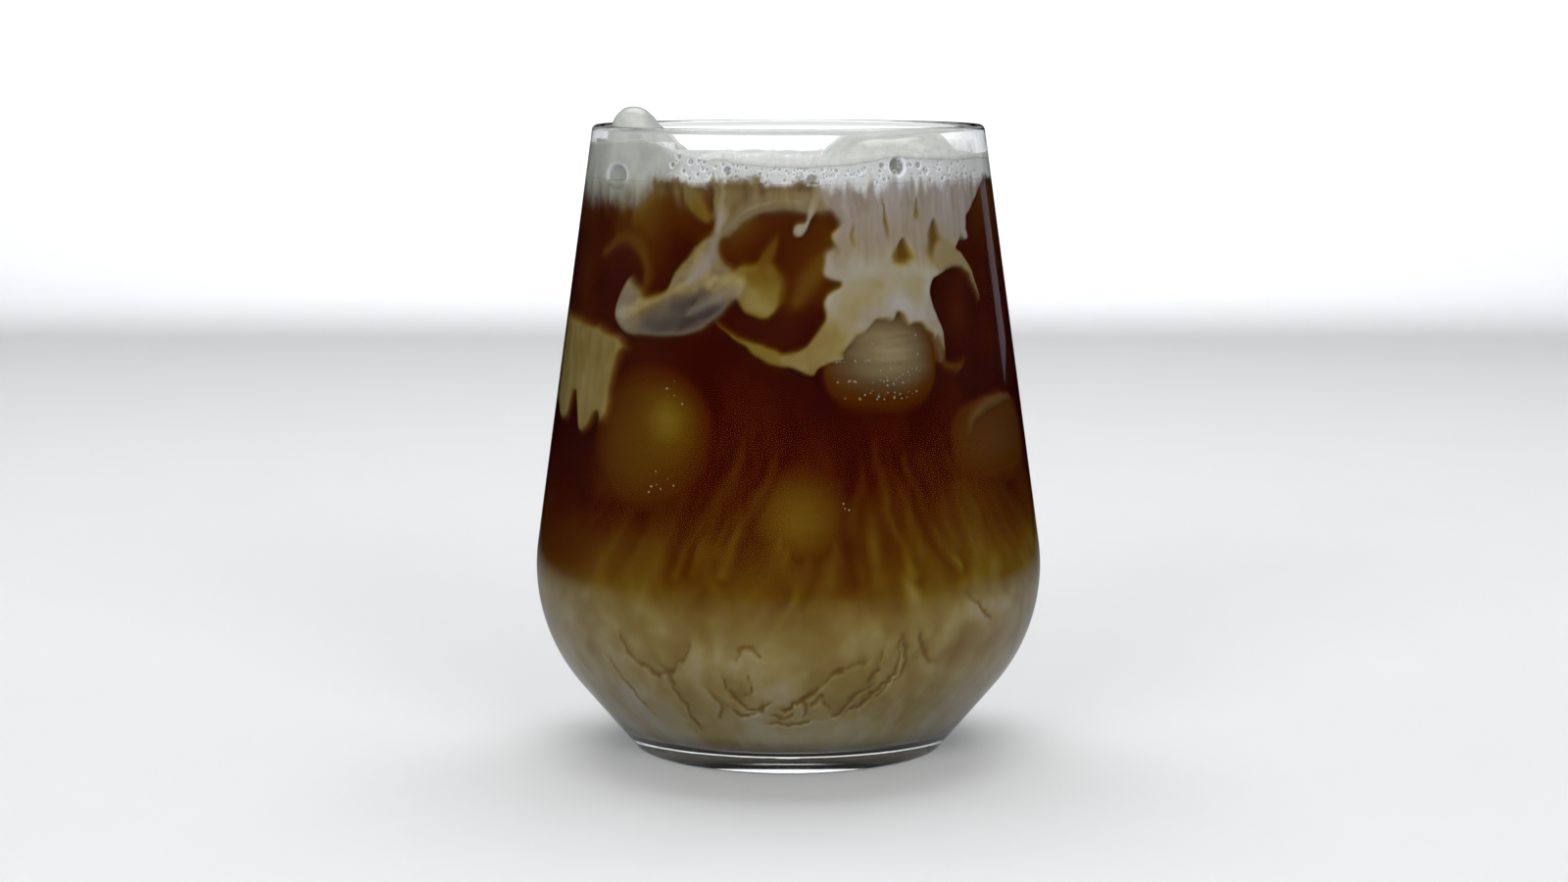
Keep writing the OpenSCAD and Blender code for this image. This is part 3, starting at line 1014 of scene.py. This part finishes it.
def left_outline(tumbler):
    """Foot, direction and outline of the left ice: two balls joined by a cone."""
    low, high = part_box("ice_left")
    low = np.array(low) / MM
    high = np.array(high) / MM
    body = 12.0
    nose = 3.8
    turn = math.radians(197)
    top_z = high[2] - nose
    low_z = low[2] + body
    lean = math.cos(math.radians(tumbler.upper))
    far = tumbler.inner(top_z) - (nose + ICE_GAP) / lean
    near_axis = tumbler.inner(low_z) - (body + ICE_GAP) / lean
    a = np.array([near_axis * math.cos(turn), near_axis * math.sin(turn), low_z])
    b = np.array([far * math.cos(turn), far * math.sin(turn), top_z])
    length = np.linalg.norm(b - a)
    taper = math.degrees(math.asin((body - nose) / length))
    line = np.concatenate([arc((0, 0), body, -89, taper), arc((0, length), nose, taper, 88)])
    return a, b - a, resample(line, 110)


def right_outline(tumbler):
    """Foot, direction and outline of the right ice: a block with a broad round top."""
    radius = 13.2
    edge = 7.5
    base = 4.0
    tall = 27.0
    below_lip = 1.7
    turn = math.radians(24)
    at = tumbler.inner(tumbler.drink) - radius - ICE_GAP
    lean = math.radians(6)
    out = np.array([math.cos(turn), math.sin(turn), 0])
    axis = np.array([0, 0, 1]) * math.cos(lean) - out * math.sin(lean)
    rise = tumbler.height - below_lip - tumbler.drink
    top = out * at + axis * rise + np.array([0, 0, tumbler.drink])
    line = np.concatenate([[[0.3, -tall]], arc((radius - base, base - tall), base, -90, 0),
                           arc((radius - edge, -edge), edge, 0, 90), [[0.3, 0]]])
    return top, axis, resample(line, 110)


def lengths(line):
    """Length of a line up to each of its points."""
    return np.concatenate([[0], np.cumsum(np.hypot(*np.diff(line, axis=0).T))])


def resample(line, count):
    """The same line with its points evenly spaced."""
    way = lengths(line)
    s = np.linspace(0, way[-1], count)
    return np.stack([np.interp(s, way, line[:, 0]), np.interp(s, way, line[:, 1])], 1)


def columns(front, back):
    """Angles round the glass, closer together over the front."""
    a = np.linspace(-100, 100, front, endpoint=False)
    b = np.linspace(100, 260, back, endpoint=False)
    return np.concatenate([a, b])


# ------------------------------------------------------------------ settings

class LatteSizes(bpy.types.PropertyGroup):
    """Sizes that the solid of the glass was made with, and those of the looks."""
    rim_r: bpy.props.FloatProperty(name="Rim radius", description="Outer radius at the lip in mm",
                                   default=33.3)
    belly_r: bpy.props.FloatProperty(name="Belly radius", default=43.5,
                                     description="Outer radius at the widest place in mm")
    belly_z: bpy.props.FloatProperty(name="Belly height", default=31.5,
                                     description="Height of the widest place in mm")
    belly_round: bpy.props.FloatProperty(name="Belly arc", default=31,
                                         description="Radius of the arc that rounds the belly in mm")
    foot_r: bpy.props.FloatProperty(name="Foot radius", default=26.4,
                                    description="Outer radius of the foot in mm")
    wall_t: bpy.props.FloatProperty(name="Wall", default=2, description="Thickness of the wall in mm")
    base_t: bpy.props.FloatProperty(name="Base", default=4.6,
                                    description="Thickness of the base in mm")
    floor_round: bpy.props.FloatProperty(name="Floor fillet", default=9,
                                         description="Radius of the fillet round the floor in mm")
    foot_edge_r: bpy.props.FloatProperty(name="Foot edge", default=1.2,
                                         description="Radius of the foot's rounded edge in mm")
    foot_ring_w: bpy.props.FloatProperty(name="Foot ring", default=2.4,
                                         description="Width of the ring it stands on in mm")
    push_up: bpy.props.FloatProperty(name="Hollow", default=1.4,
                                     description="Height of the hollow under the base in mm")
    relief: bpy.props.FloatProperty(name="Relief", default=0.16, min=0, max=0.45,
                                    description="Depth of the milk for each mm of coffee over it")
    gain: bpy.props.FloatProperty(name="Gain", default=0.86, min=0.5, max=3,
                                  description="Brightness of the milk's own colour")


class LatteStudio(bpy.types.PropertyGroup):
    """Camera and lamps."""
    distance: bpy.props.FloatProperty(name="Distance", default=0.538, unit="LENGTH",
                                      description="From the glass's axis to the camera")
    height: bpy.props.FloatProperty(name="Height", default=0.121, unit="LENGTH",
                                    description="Height of the camera")
    pitch: bpy.props.FloatProperty(name="Pitch", default=math.radians(7.245), subtype="ANGLE",
                                   description="How far the camera looks down")
    lens: bpy.props.FloatProperty(name="Lens", default=72.2, description="Focal length in mm")
    floor: bpy.props.FloatVectorProperty(name="Floor", subtype="COLOR", default=(0.66, 0.67, 0.68),
                                         description="Colour of the floor and backdrop")


# ------------------------------------------------------------------ operators

class LATTE_OT_stage(bpy.types.Operator):
    """Adds the floor with its backdrop, the lamps and the camera"""
    bl_idname = "latte.stage"
    bl_label = "Stage"

    def execute(self, context):
        studio = context.scene.latte_studio
        self.add_backdrop(tuple(studio.floor))
        self.add_lamps(context.scene)
        self.add_world(context.scene)
        self.add_camera(context.scene, studio)
        context.scene.view_settings.view_transform = "Standard"
        return {"FINISHED"}

    def add_backdrop(self, tint):
        """Round floor that curves up into a wall all round"""
        f = Finish("backdrop_card")
        shade = f.grain(0.02, 3)
        tone = f.blend(shade, [x * 0.97 for x in tint], tint)
        # Seen as a mirror image in the glass, the floor is painted darker, more so further out, as on
        # a small table: painted shade in its mirror image
        spot = f.node("ShaderNodeTexCoord")
        far = f.node("ShaderNodeVectorMath", operation="LENGTH")
        f.link(spot.outputs["Object"], far.inputs[0])
        far = f.clamp(f.math("MULTIPLY", f.math("SUBTRACT", far.outputs["Value"], 0.03), 3.2))
        fade = f.math("MULTIPLY_ADD", f.math("POWER", far, 0.6), 0.66, 0.34)
        path = f.node("ShaderNodeLightPath")
        fade = f.math("MULTIPLY", fade, path.outputs["Is Glossy Ray"])
        fade = f.math("MULTIPLY", fade, f.math("LESS_THAN", path.outputs["Ray Depth"], 1.5))
        f.link(f.blend(fade, tone, (0, 0, 0)), f.shader.inputs["Base Color"])
        f.set(Roughness=0.7, Specular_IOR_Level=0.0)
        turn = np.radians(np.arange(0, 360, 3))
        ground = [(r, 0) for r in (0.0005, 0.02, 0.12, 0.35, 0.7, 1.1)]
        cove = np.concatenate([arc((1.1, 0.5), 0.5, -90, 0), [[1.6, 1.5]]])
        for name, side in (("floor", ground), ("cove", cove)):
            rings = np.stack([np.stack([r * np.cos(turn), r * np.sin(turn), turn * 0 + z], 1)
                              for r, z in side])
            obj = skin(name, rings / MM, False)
            obj.data.materials.append(f.material)

    def add_lamps(self, scene):
        """Softboxes in front and above, a strip at the right, and four that light the backdrop"""
        # Name, place, what it aims at, width and height, power, colour, seen in mirror images
        lamps = [
            ("top_softbox", (0, 0.3, 0.9), (0, 0.05, 0.05), (0.8, 0.5), 7.0, (1, 0.99, 0.98), True),
            ("left_softbox", (-0.5, -0.95, 0.45), (0, 0, 0.06), (0.5, 0.4), 5.6, (1, 0.99, 0.97),
             False),
            ("right_softbox", (0.5, -0.95, 0.45), (0, 0, 0.06), (0.5, 0.4), 5.6, (1, 0.99, 0.97),
             False),
            ("right_strip", (0.45, 0.53, 0.2), (0, 0, 0.08), (0.13, 0.3), 0.03, (0.9, 0.86, 1),
             True),
        ]
        for turn in (0, 90, 180, 270):
            a = math.radians(turn)
            out = (math.sin(a), math.cos(a))
            lamps.append(("cove_lamp_%d" % turn, (out[0] * 0.85, out[1] * 0.85, 0.5),
                          (out[0] * 1.6, out[1] * 1.6, 0.35), (1.0, 0.3), 7.0, (1, 1, 1), False))
        for name, place, aim, size, power, tint, mirrored in lamps:
            lamp = bpy.data.lights.new(name, "AREA")
            lamp.shape = "RECTANGLE"
            lamp.size, lamp.size_y = size
            lamp.energy = power
            lamp.color = tint
            obj = bpy.data.objects.new(name, lamp)
            obj.location = place
            look = Vector(aim) - Vector(place)
            obj.rotation_euler = look.to_track_quat("-Z", "Y").to_euler()
            obj.visible_glossy = mirrored
            obj.visible_transmission = mirrored
            scene.collection.objects.link(obj)

    def add_world(self, scene):
        """Even pale light from all round, which leaves no mirror image"""
        world = bpy.data.worlds.new("studio")
        world.use_nodes = True
        world.node_tree.nodes["Background"].inputs[0].default_value = (0.5, 0.5, 0.52, 1)
        world.node_tree.nodes["Background"].inputs[1].default_value = 0.3
        world.cycles_visibility.glossy = False
        scene.world = world

    def add_camera(self, scene, studio):
        """Camera in front of the glass, a little above its lip, looking slightly down"""
        lens = bpy.data.cameras.new("camera")
        lens.lens = studio.lens
        lens.sensor_width = 36
        lens.shift_x = -0.0028
        lens.clip_start = 0.01
        camera = bpy.data.objects.new("camera", lens)
        camera.location = (0, -studio.distance, studio.height)
        camera.rotation_euler = (math.radians(90) - studio.pitch, 0, 0)
        scene.collection.objects.link(camera)
        scene.camera = camera


class LATTE_OT_glass(bpy.types.Operator):
    """Gives the tumbler its clear glass"""
    bl_idname = "latte.glass"
    bl_label = "Glass"

    def execute(self, context):
        tumbler = Tumbler(context.scene.latte_sizes)
        outline = tumbler.whole()
        theta = np.linspace(0, 360, 240, endpoint=False)
        t, h = np.meshgrid(theta, outline[:, 1])
        glass = skin("tumbler", around(outline[:, :1] + t * 0, t, h))
        clear = Finish("clear_glass")
        clear.set(Base_Color=(0.99, 1.0, 0.99, 1), Roughness=0.0, IOR=1.5,
                  Transmission_Weight=1.0)
        clear.let_light_through(clear.shader.outputs[0])
        wet = Finish("wetted_glass")
        wet.set(Base_Color=(1, 1, 1, 1), Roughness=0.0, IOR=1.5 / 1.33, Transmission_Weight=1.0)
        wet.let_light_through(wet.shader.outputs[0])
        settle(glass, clear.material, "glass", "glass")
        glass.data.materials.append(wet.material)
        inner = np.arange(len(outline) - 1) >= tumbler.lip_row
        covered = (t[:-1] * 0 + h[1:]) < froth_edge(t[:-1]) - 0.1
        faces = (covered & inner[:, None]).ravel()
        index = np.zeros(len(glass.data.polygons), np.int32)
        index[:len(faces)] = faces
        index[-len(theta):] = 1
        glass.data.polygons.foreach_set("material_index", index)
        return {"FINISHED"}


class LATTE_OT_drink(bpy.types.Operator):
    """Builds the coffee with its plumes of milk, the settled milky layer and the clear skin"""
    bl_idname = "latte.drink"
    bl_label = "Drink"

    def execute(self, context):
        sizes = context.scene.latte_sizes
        tumbler = Tumbler(sizes)
        finish = stained("coffee_and_milk", sizes.gain, 0.8, FROTH)
        theta = columns(400, 160)
        self.coffee(tumbler, theta, sizes.relief, finish)
        self.milky_layer(tumbler, theta, sizes.relief, finish)
        self.clear_skin(tumbler)
        return {"FINISHED"}

    def coffee(self, tumbler, theta, relief, finish):
        """Coffee with the milk that drifts in it"""
        t, h = np.meshgrid(theta, np.linspace(SEAM, tumbler.drink - 0.1, 165))
        v, cool, depth = veil(t, h, relief)
        bare, glaze = froth_bottom(t, h)
        depth = 0.18 + (depth - 0.18) * (1 - 0.9 * bare)
        depth = lay(depth, 0.2, smooth(96.8, 98.0, h))
        rim, disc = bubbles(t, h)[1:]
        coffee = skin("coffee_body", around(tumbler.inner(h) - depth, t, h))
        paint(coffee, veil=v, cool=cool, bare=np.maximum(bare, np.maximum(rim, disc) * (h > 96)),
              glaze=glaze, rim=rim, disc=disc)
        settle(coffee, finish, "coffee", "coffee")

    def milky_layer(self, tumbler, theta, relief, finish):
        """Settled milky coffee, from the floor up to the coffee's lower edge"""
        line = tumbler.line
        way = lengths(line)
        stop = np.interp(SEAM, line[1:, 1], way[1:])
        s = np.concatenate([np.linspace(2, 14, 8, endpoint=False), np.linspace(14, stop, 90)])
        r = np.interp(s, way, line[:, 0])
        z = np.interp(s, way, line[:, 1])
        z[-1] = SEAM
        slope = np.gradient(z, s), -np.gradient(r, s)
        size = np.hypot(*slope)
        nr = slope[0] / size
        nz = slope[1] / size
        nr[-1] = 1
        nz[-1] = 0
        t, h = np.meshgrid(theta, z)
        v, cool, depth = veil(t, h, relief)
        rr = r[:, None] - depth * nr[:, None]
        hh = h - depth * nz[:, None]
        base = skin("milky_layer", around(rr, t, hh))
        paint(base, veil=v, cool=cool, bare=v * 0)
        settle(base, finish, "milky_coffee", "milk_base")

    def clear_skin(self, tumbler):
        """Clear coffee from the milk to just inside the wall of the glass"""
        f = Finish("clear_coffee")
        # The wetted wall bends the light between glass and coffee, so this piece adds no bend
        f.set(Base_Color=(1, 1, 1, 1), Roughness=0.0, IOR=1.0, Transmission_Weight=1.0)
        f.let_light_through(f.shader.outputs[0])
        reach = 0.15
        way = lengths(tumbler.line)
        s = np.linspace(1, way[-1], 260)
        r = np.interp(s, way, tumbler.line[:, 0])
        z = np.interp(s, way, tumbler.line[:, 1])
        out = np.clip(np.gradient(z, s), 0, 1)
        down = np.gradient(r, s)
        pick = z < tumbler.drink + 1.2
        r = r[pick] + reach * out[pick]
        z = z[pick] - reach * down[pick]
        t, h = np.meshgrid(np.linspace(0, 360, 240, endpoint=False), z)
        clear = skin("clear_skin", around(r[:, None] + h * 0, t, h))
        settle(clear, f.material, "coffee")


class LATTE_OT_sunk_ice(bpy.types.Operator):
    """Builds the ice that lies under the surface"""
    bl_idname = "latte.sunk_ice"
    bl_label = "Sunk ice"

    def execute(self, context):
        sizes = context.scene.latte_sizes
        tumbler = Tumbler(sizes)
        finish = stained("ice_in_coffee", sizes.gain, 0.5, ICE)
        for name, ice in SUNK.items():
            self.piece(name, ice, tumbler, sizes.relief, finish)
        self.specks(tumbler, finish)
        return {"FINISHED"}

    def piece(self, name, ice, tumbler, relief, finish):
        """One piece of ice: rings round an axis that points at the viewer, back to front"""
        theta = ice["theta"]
        power = ice["power"]
        lat = np.radians(np.linspace(-89, 89, 90))
        lon = np.radians(np.linspace(0, 360, 140, endpoint=False))
        a, b = np.meshgrid(lon, lat)
        disc = np.cos(b)
        lean = np.sum(np.abs([np.cos(a), np.sin(a)])**power, 0)**(-1 / power)
        bumps = fractal(np.stack([a * 0, np.cos(a), np.sin(a)], -1).reshape(-1, 3) * 2 + theta,
                        301, 3).reshape(a.shape)
        reach = disc * lean * (1 + 0.02 * bumps)
        u = theta * ARC + reach * np.cos(a) * ice["wide"]
        z = ice["height"] + reach * np.sin(a) * ice["high"]
        over = front(ice, u, z)[0]
        # It lies nearer than its colour tells, as the milk does
        gap = 0.3 + relief * over
        behind = 2 * ice["deep"] * np.sqrt(np.clip(1 - disc**2, 0, 1))
        gap = gap + np.where(b > 0, 0, behind)
        obj = skin("sunk_ice_" + name, around(tumbler.inner(z) - gap, u / ARC, z))
        rough = scratches(u, z) * (0.35 if name == "a" else 0.1)
        paint(obj, veil=np.clip(over + rough, 0, DEEPEST), cool=ice["cool"] * smooth(7, 3, over),
              bare=gap * 0)
        settle(obj, finish, "ice")

    def specks(self, tumbler, finish):
        """Small bubbles of air on and beside the ice"""
        spots = []
        draw = np.random.default_rng(19)
        for theta, height, wide, high, count in SPECKS:
            for _ in range(count):
                at = theta + draw.normal() * wide / 2 / ARC
                z = height + draw.normal() * high / 2
                spots.append(bead(around(tumbler.inner(z) - draw.uniform(0.25, 0.5), at, z),
                                  draw.uniform(0.07, 0.2)))
        specks = joined("specks_of_air", spots)
        paint(specks, veil=np.full(len(specks.data.vertices), 0.9), cool=np.full(1, 0.4),
              bare=np.zeros(1))
        settle(specks, finish, "ice")


class LATTE_OT_standing_ice(bpy.types.Operator):
    """Builds the two pieces of half-melted ice that stand out of the froth"""
    bl_idname = "latte.standing_ice"
    bl_label = "Standing ice"

    def execute(self, context):
        sizes = context.scene.latte_sizes
        tumbler = Tumbler(sizes)
        finish = stained("standing_ice", sizes.gain * 1.15, 0.4, (206, 210, 204))
        shader = finish.node_tree.nodes["Principled BSDF"]
        shader.inputs["Roughness"].default_value = 0.16
        shader.inputs["IOR"].default_value = 1.31
        # Half-clear where nothing lies over it
        clear = finish.node_tree.nodes.new("ShaderNodeAttribute")
        clear.attribute_name = "clear"
        finish.node_tree.links.new(clear.outputs["Fac"], shader.inputs["Transmission Weight"])
        finish.node_tree.links.new(clear.outputs["Fac"], shader.inputs["Specular IOR Level"])
        for seed, (side, shape) in enumerate((("left", left_outline), ("right", right_outline))):
            foot, way, line = shape(tumbler)
            way = way / np.linalg.norm(way)
            across = np.cross(way, (0.3, 1, 0.2))
            across /= np.linalg.norm(across)
            other = np.cross(way, across)
            turn = np.radians(np.linspace(0, 360, 120, endpoint=False))
            ring = across * np.cos(turn)[:, None] + other * np.sin(turn)[:, None]
            points = foot + way * line[:, 1][:, None, None] + ring * line[:, 0][:, None, None]
            spot = points.reshape(-1, 3)
            swell = fractal(spot / 7, 401 + seed, 3).reshape(points.shape[:2]) * 0.5
            swell = swell + fractal(spot / 2, 431 + seed, 2).reshape(points.shape[:2]) * 0.12
            core = foot + way * line[:, 1][:, None, None]
            inward = core - points
            size = np.linalg.norm(inward, axis=-1, keepdims=True) + 1e-6
            push = np.clip(swell + 0.45, 0.05, 1.4) + 1.7 * smooth(97.6, 95, points[..., 2])
            push = push * np.clip(size[..., 0] / 3, 0, 1)
            points = points + inward / size * push[..., None]
            obj = skin("ice_" + side + "_piece", points)
            x, y, z = points[..., 0], points[..., 1], points[..., 2]
            gap = np.maximum(tumbler.inner(z) - np.hypot(x, y), 0)
            v = gap * 1.0 + np.maximum(98 - z, 0) * 1.7
            drift = fractal(points.reshape(-1, 3) / 2.5, 461, 3).reshape(v.shape)
            bare = smooth(96.5, 100.5, z + drift * 1.2)
            paint(obj, veil=v, cool=v * 0 + 0.2, bare=bare,
                  clear=0.5 * smooth(99, 103, z) * (0.9 + 0.15 * drift))
            settle(obj, finish, "ice", "ice_" + side)
        return {"FINISHED"}


class LATTE_OT_froth(bpy.types.Operator):
    """Builds the head of froth with its bubbles, and the film of milk on the wall above it"""
    bl_idname = "latte.froth"
    bl_label = "Froth"

    def execute(self, context):
        sizes = context.scene.latte_sizes
        tumbler = Tumbler(sizes)
        theta = columns(840, 240)
        share = np.linspace(0, 1, 36)
        top = froth_edge(theta)
        low = 97.6
        t = np.tile(theta, (len(share), 1))
        h = low + (top - low)[None, :] * share[:, None]
        pit, rim, disc = bubbles(t, h)
        curl = 0.9 * np.clip((share[:, None] - 0.9) / 0.1, 0, 1)**2
        tuck = 1.0 * smooth(98.1, 97.7, h)
        p3 = around(36, t, h).reshape(-1, 3)
        lumps = fractal(p3 / 1.3, 501, 3).reshape(h.shape) * 0.06
        r = tumbler.inner(h) - 0.14 + lumps * 0.5 - pit - curl * 0.25 - tuck
        wall = around(r, t, h)
        s = np.linspace(0, 1, 44)[1:] ** 1.5
        edge_r = r[-1]
        rr = edge_r[None, :] * (1 - s[:, None] * 0.985)
        t2 = np.tile(theta, (len(s), 1))
        flat = around(rr, t2, rr * 0).reshape(-1, 3)
        level = 100.0 + 0.35 * fractal(flat / 4, 521, 3).reshape(rr.shape)
        cells = fractal(flat / 0.9, 541, 2).reshape(rr.shape) * 0.09
        in_from_wall = edge_r[None, :] - rr
        climb = (top - 100.0)[None, :] * np.exp(-in_from_wall / 1.1)
        hh = level + climb + cells * np.clip(in_from_wall, 0, 1)
        cap = around(rr, t2, hh)
        froth = skin("froth_head", np.concatenate([wall, cap]))
        blank = np.zeros(rr.shape)
        v, cool, _ = veil(t, np.minimum(h, 98), sizes.relief)
        bare, glaze = froth_bottom(t, h)
        # On top of the froth nothing lies over it
        layers = {"veil": (v, 0), "cool": (cool, 0), "bare": (bare, 1), "glaze": (glaze, 0),
                  "rim": (rim, 0), "disc": (disc, 0), "top": (v * 0, 1)}
        paint(froth, **{name: np.concatenate([part, blank + rest])
                        for name, (part, rest) in layers.items()})
        finish = stained("wet_froth", sizes.gain, 0.8, FROTH)
        shader = finish.node_tree.nodes["Principled BSDF"]
        shader.inputs["Roughness"].default_value = 0.5
        shader.inputs["Specular IOR Level"].default_value = 0.2
        settle(froth, finish, "froth", "froth")
        self.film(tumbler, sizes.gain)
        return {"FINISHED"}

    def film(self, tumbler, gain):
        """Thin film of milk left on the wall above the froth"""
        theta = np.linspace(-26, 84, 200)
        share = np.linspace(0, 1, 20)
        bottom = froth_edge(theta) - 0.5
        t = np.tile(theta, (len(share), 1))
        p3 = around(36, theta, theta * 0).reshape(-1, 3)
        runs = fractal(p3 * 0.3, 601, 4)
        side = smooth(-26, -16, theta) * smooth(84, 76, theta)
        tall = (1.6 + 1.7 * smooth(-20, 20, theta) + runs * 0.9) * side + 0.1
        h = bottom + np.clip(tall, 0.1, 105 - bottom) * share[:, None]
        mottle = fractal(around(36, t, h * 0.6).reshape(-1, 3) * 0.6, 607, 3).reshape(h.shape)
        cover = np.clip(0.5 * (1 - share[:, None])**0.7 + 0.12 * mottle, 0, 0.7)
        near_wall = around(tumbler.inner(h) - 0.03, t, h)
        far_wall = around(tumbler.inner(h) - 0.09, t, h)
        # The rings run up the far side and down the near side of each angle
        rings = np.concatenate([far_wall, near_wall[::-1]]).transpose(1, 0, 2)
        obj = skin("film_on_the_wall", rings)
        paint(obj, film=np.concatenate([cover, cover[::-1]]).T)
        f = Finish("thin_milk")
        mottle = f.grain(0.6, 4, (1, 1, 0.5))
        tone = f.blend(mottle, linear((204, 206, 202), gain),
                       linear((224, 225, 222), gain))
        f.link(tone, f.shader.inputs["Base Color"])
        f.set(Roughness=0.6, Specular_IOR_Level=0.0)
        f.link(f.value("film"), f.shader.inputs["Alpha"])
        settle(obj, f.material, "froth")


class LATTE_PT_panel(bpy.types.Panel):
    """Lists the settings and the steps"""
    bl_idname = "LATTE_PT_panel"
    bl_label = "Iced Latte"
    bl_space_type = "VIEW_3D"
    bl_region_type = "UI"
    bl_category = "Iced Latte"

    def draw(self, context):
        for group in (context.scene.latte_sizes, context.scene.latte_studio):
            box = self.layout.box()
            for name in group.__annotations__:
                box.prop(group, name)
        for step in STEPS:
            self.layout.operator(step.bl_idname)


STEPS = (LATTE_OT_stage, LATTE_OT_glass, LATTE_OT_drink, LATTE_OT_sunk_ice,
         LATTE_OT_standing_ice, LATTE_OT_froth)
CLASSES = (LatteSizes, LatteStudio, *STEPS, LATTE_PT_panel)


def register():
    for c in CLASSES:
        bpy.utils.register_class(c)
    bpy.types.Scene.latte_sizes = bpy.props.PointerProperty(type=LatteSizes)
    bpy.types.Scene.latte_studio = bpy.props.PointerProperty(type=LatteStudio)


def unregister():
    del bpy.types.Scene.latte_studio
    del bpy.types.Scene.latte_sizes
    for c in reversed(CLASSES):
        bpy.utils.unregister_class(c)


def main():
    register()
    bpy.ops.latte.stage()
    bpy.ops.latte.glass()
    bpy.ops.latte.drink()
    bpy.ops.latte.sunk_ice()
    bpy.ops.latte.standing_ice()
    bpy.ops.latte.froth()
    bpy.context.view_layer.update()


if __name__ == "__main__":
    main()
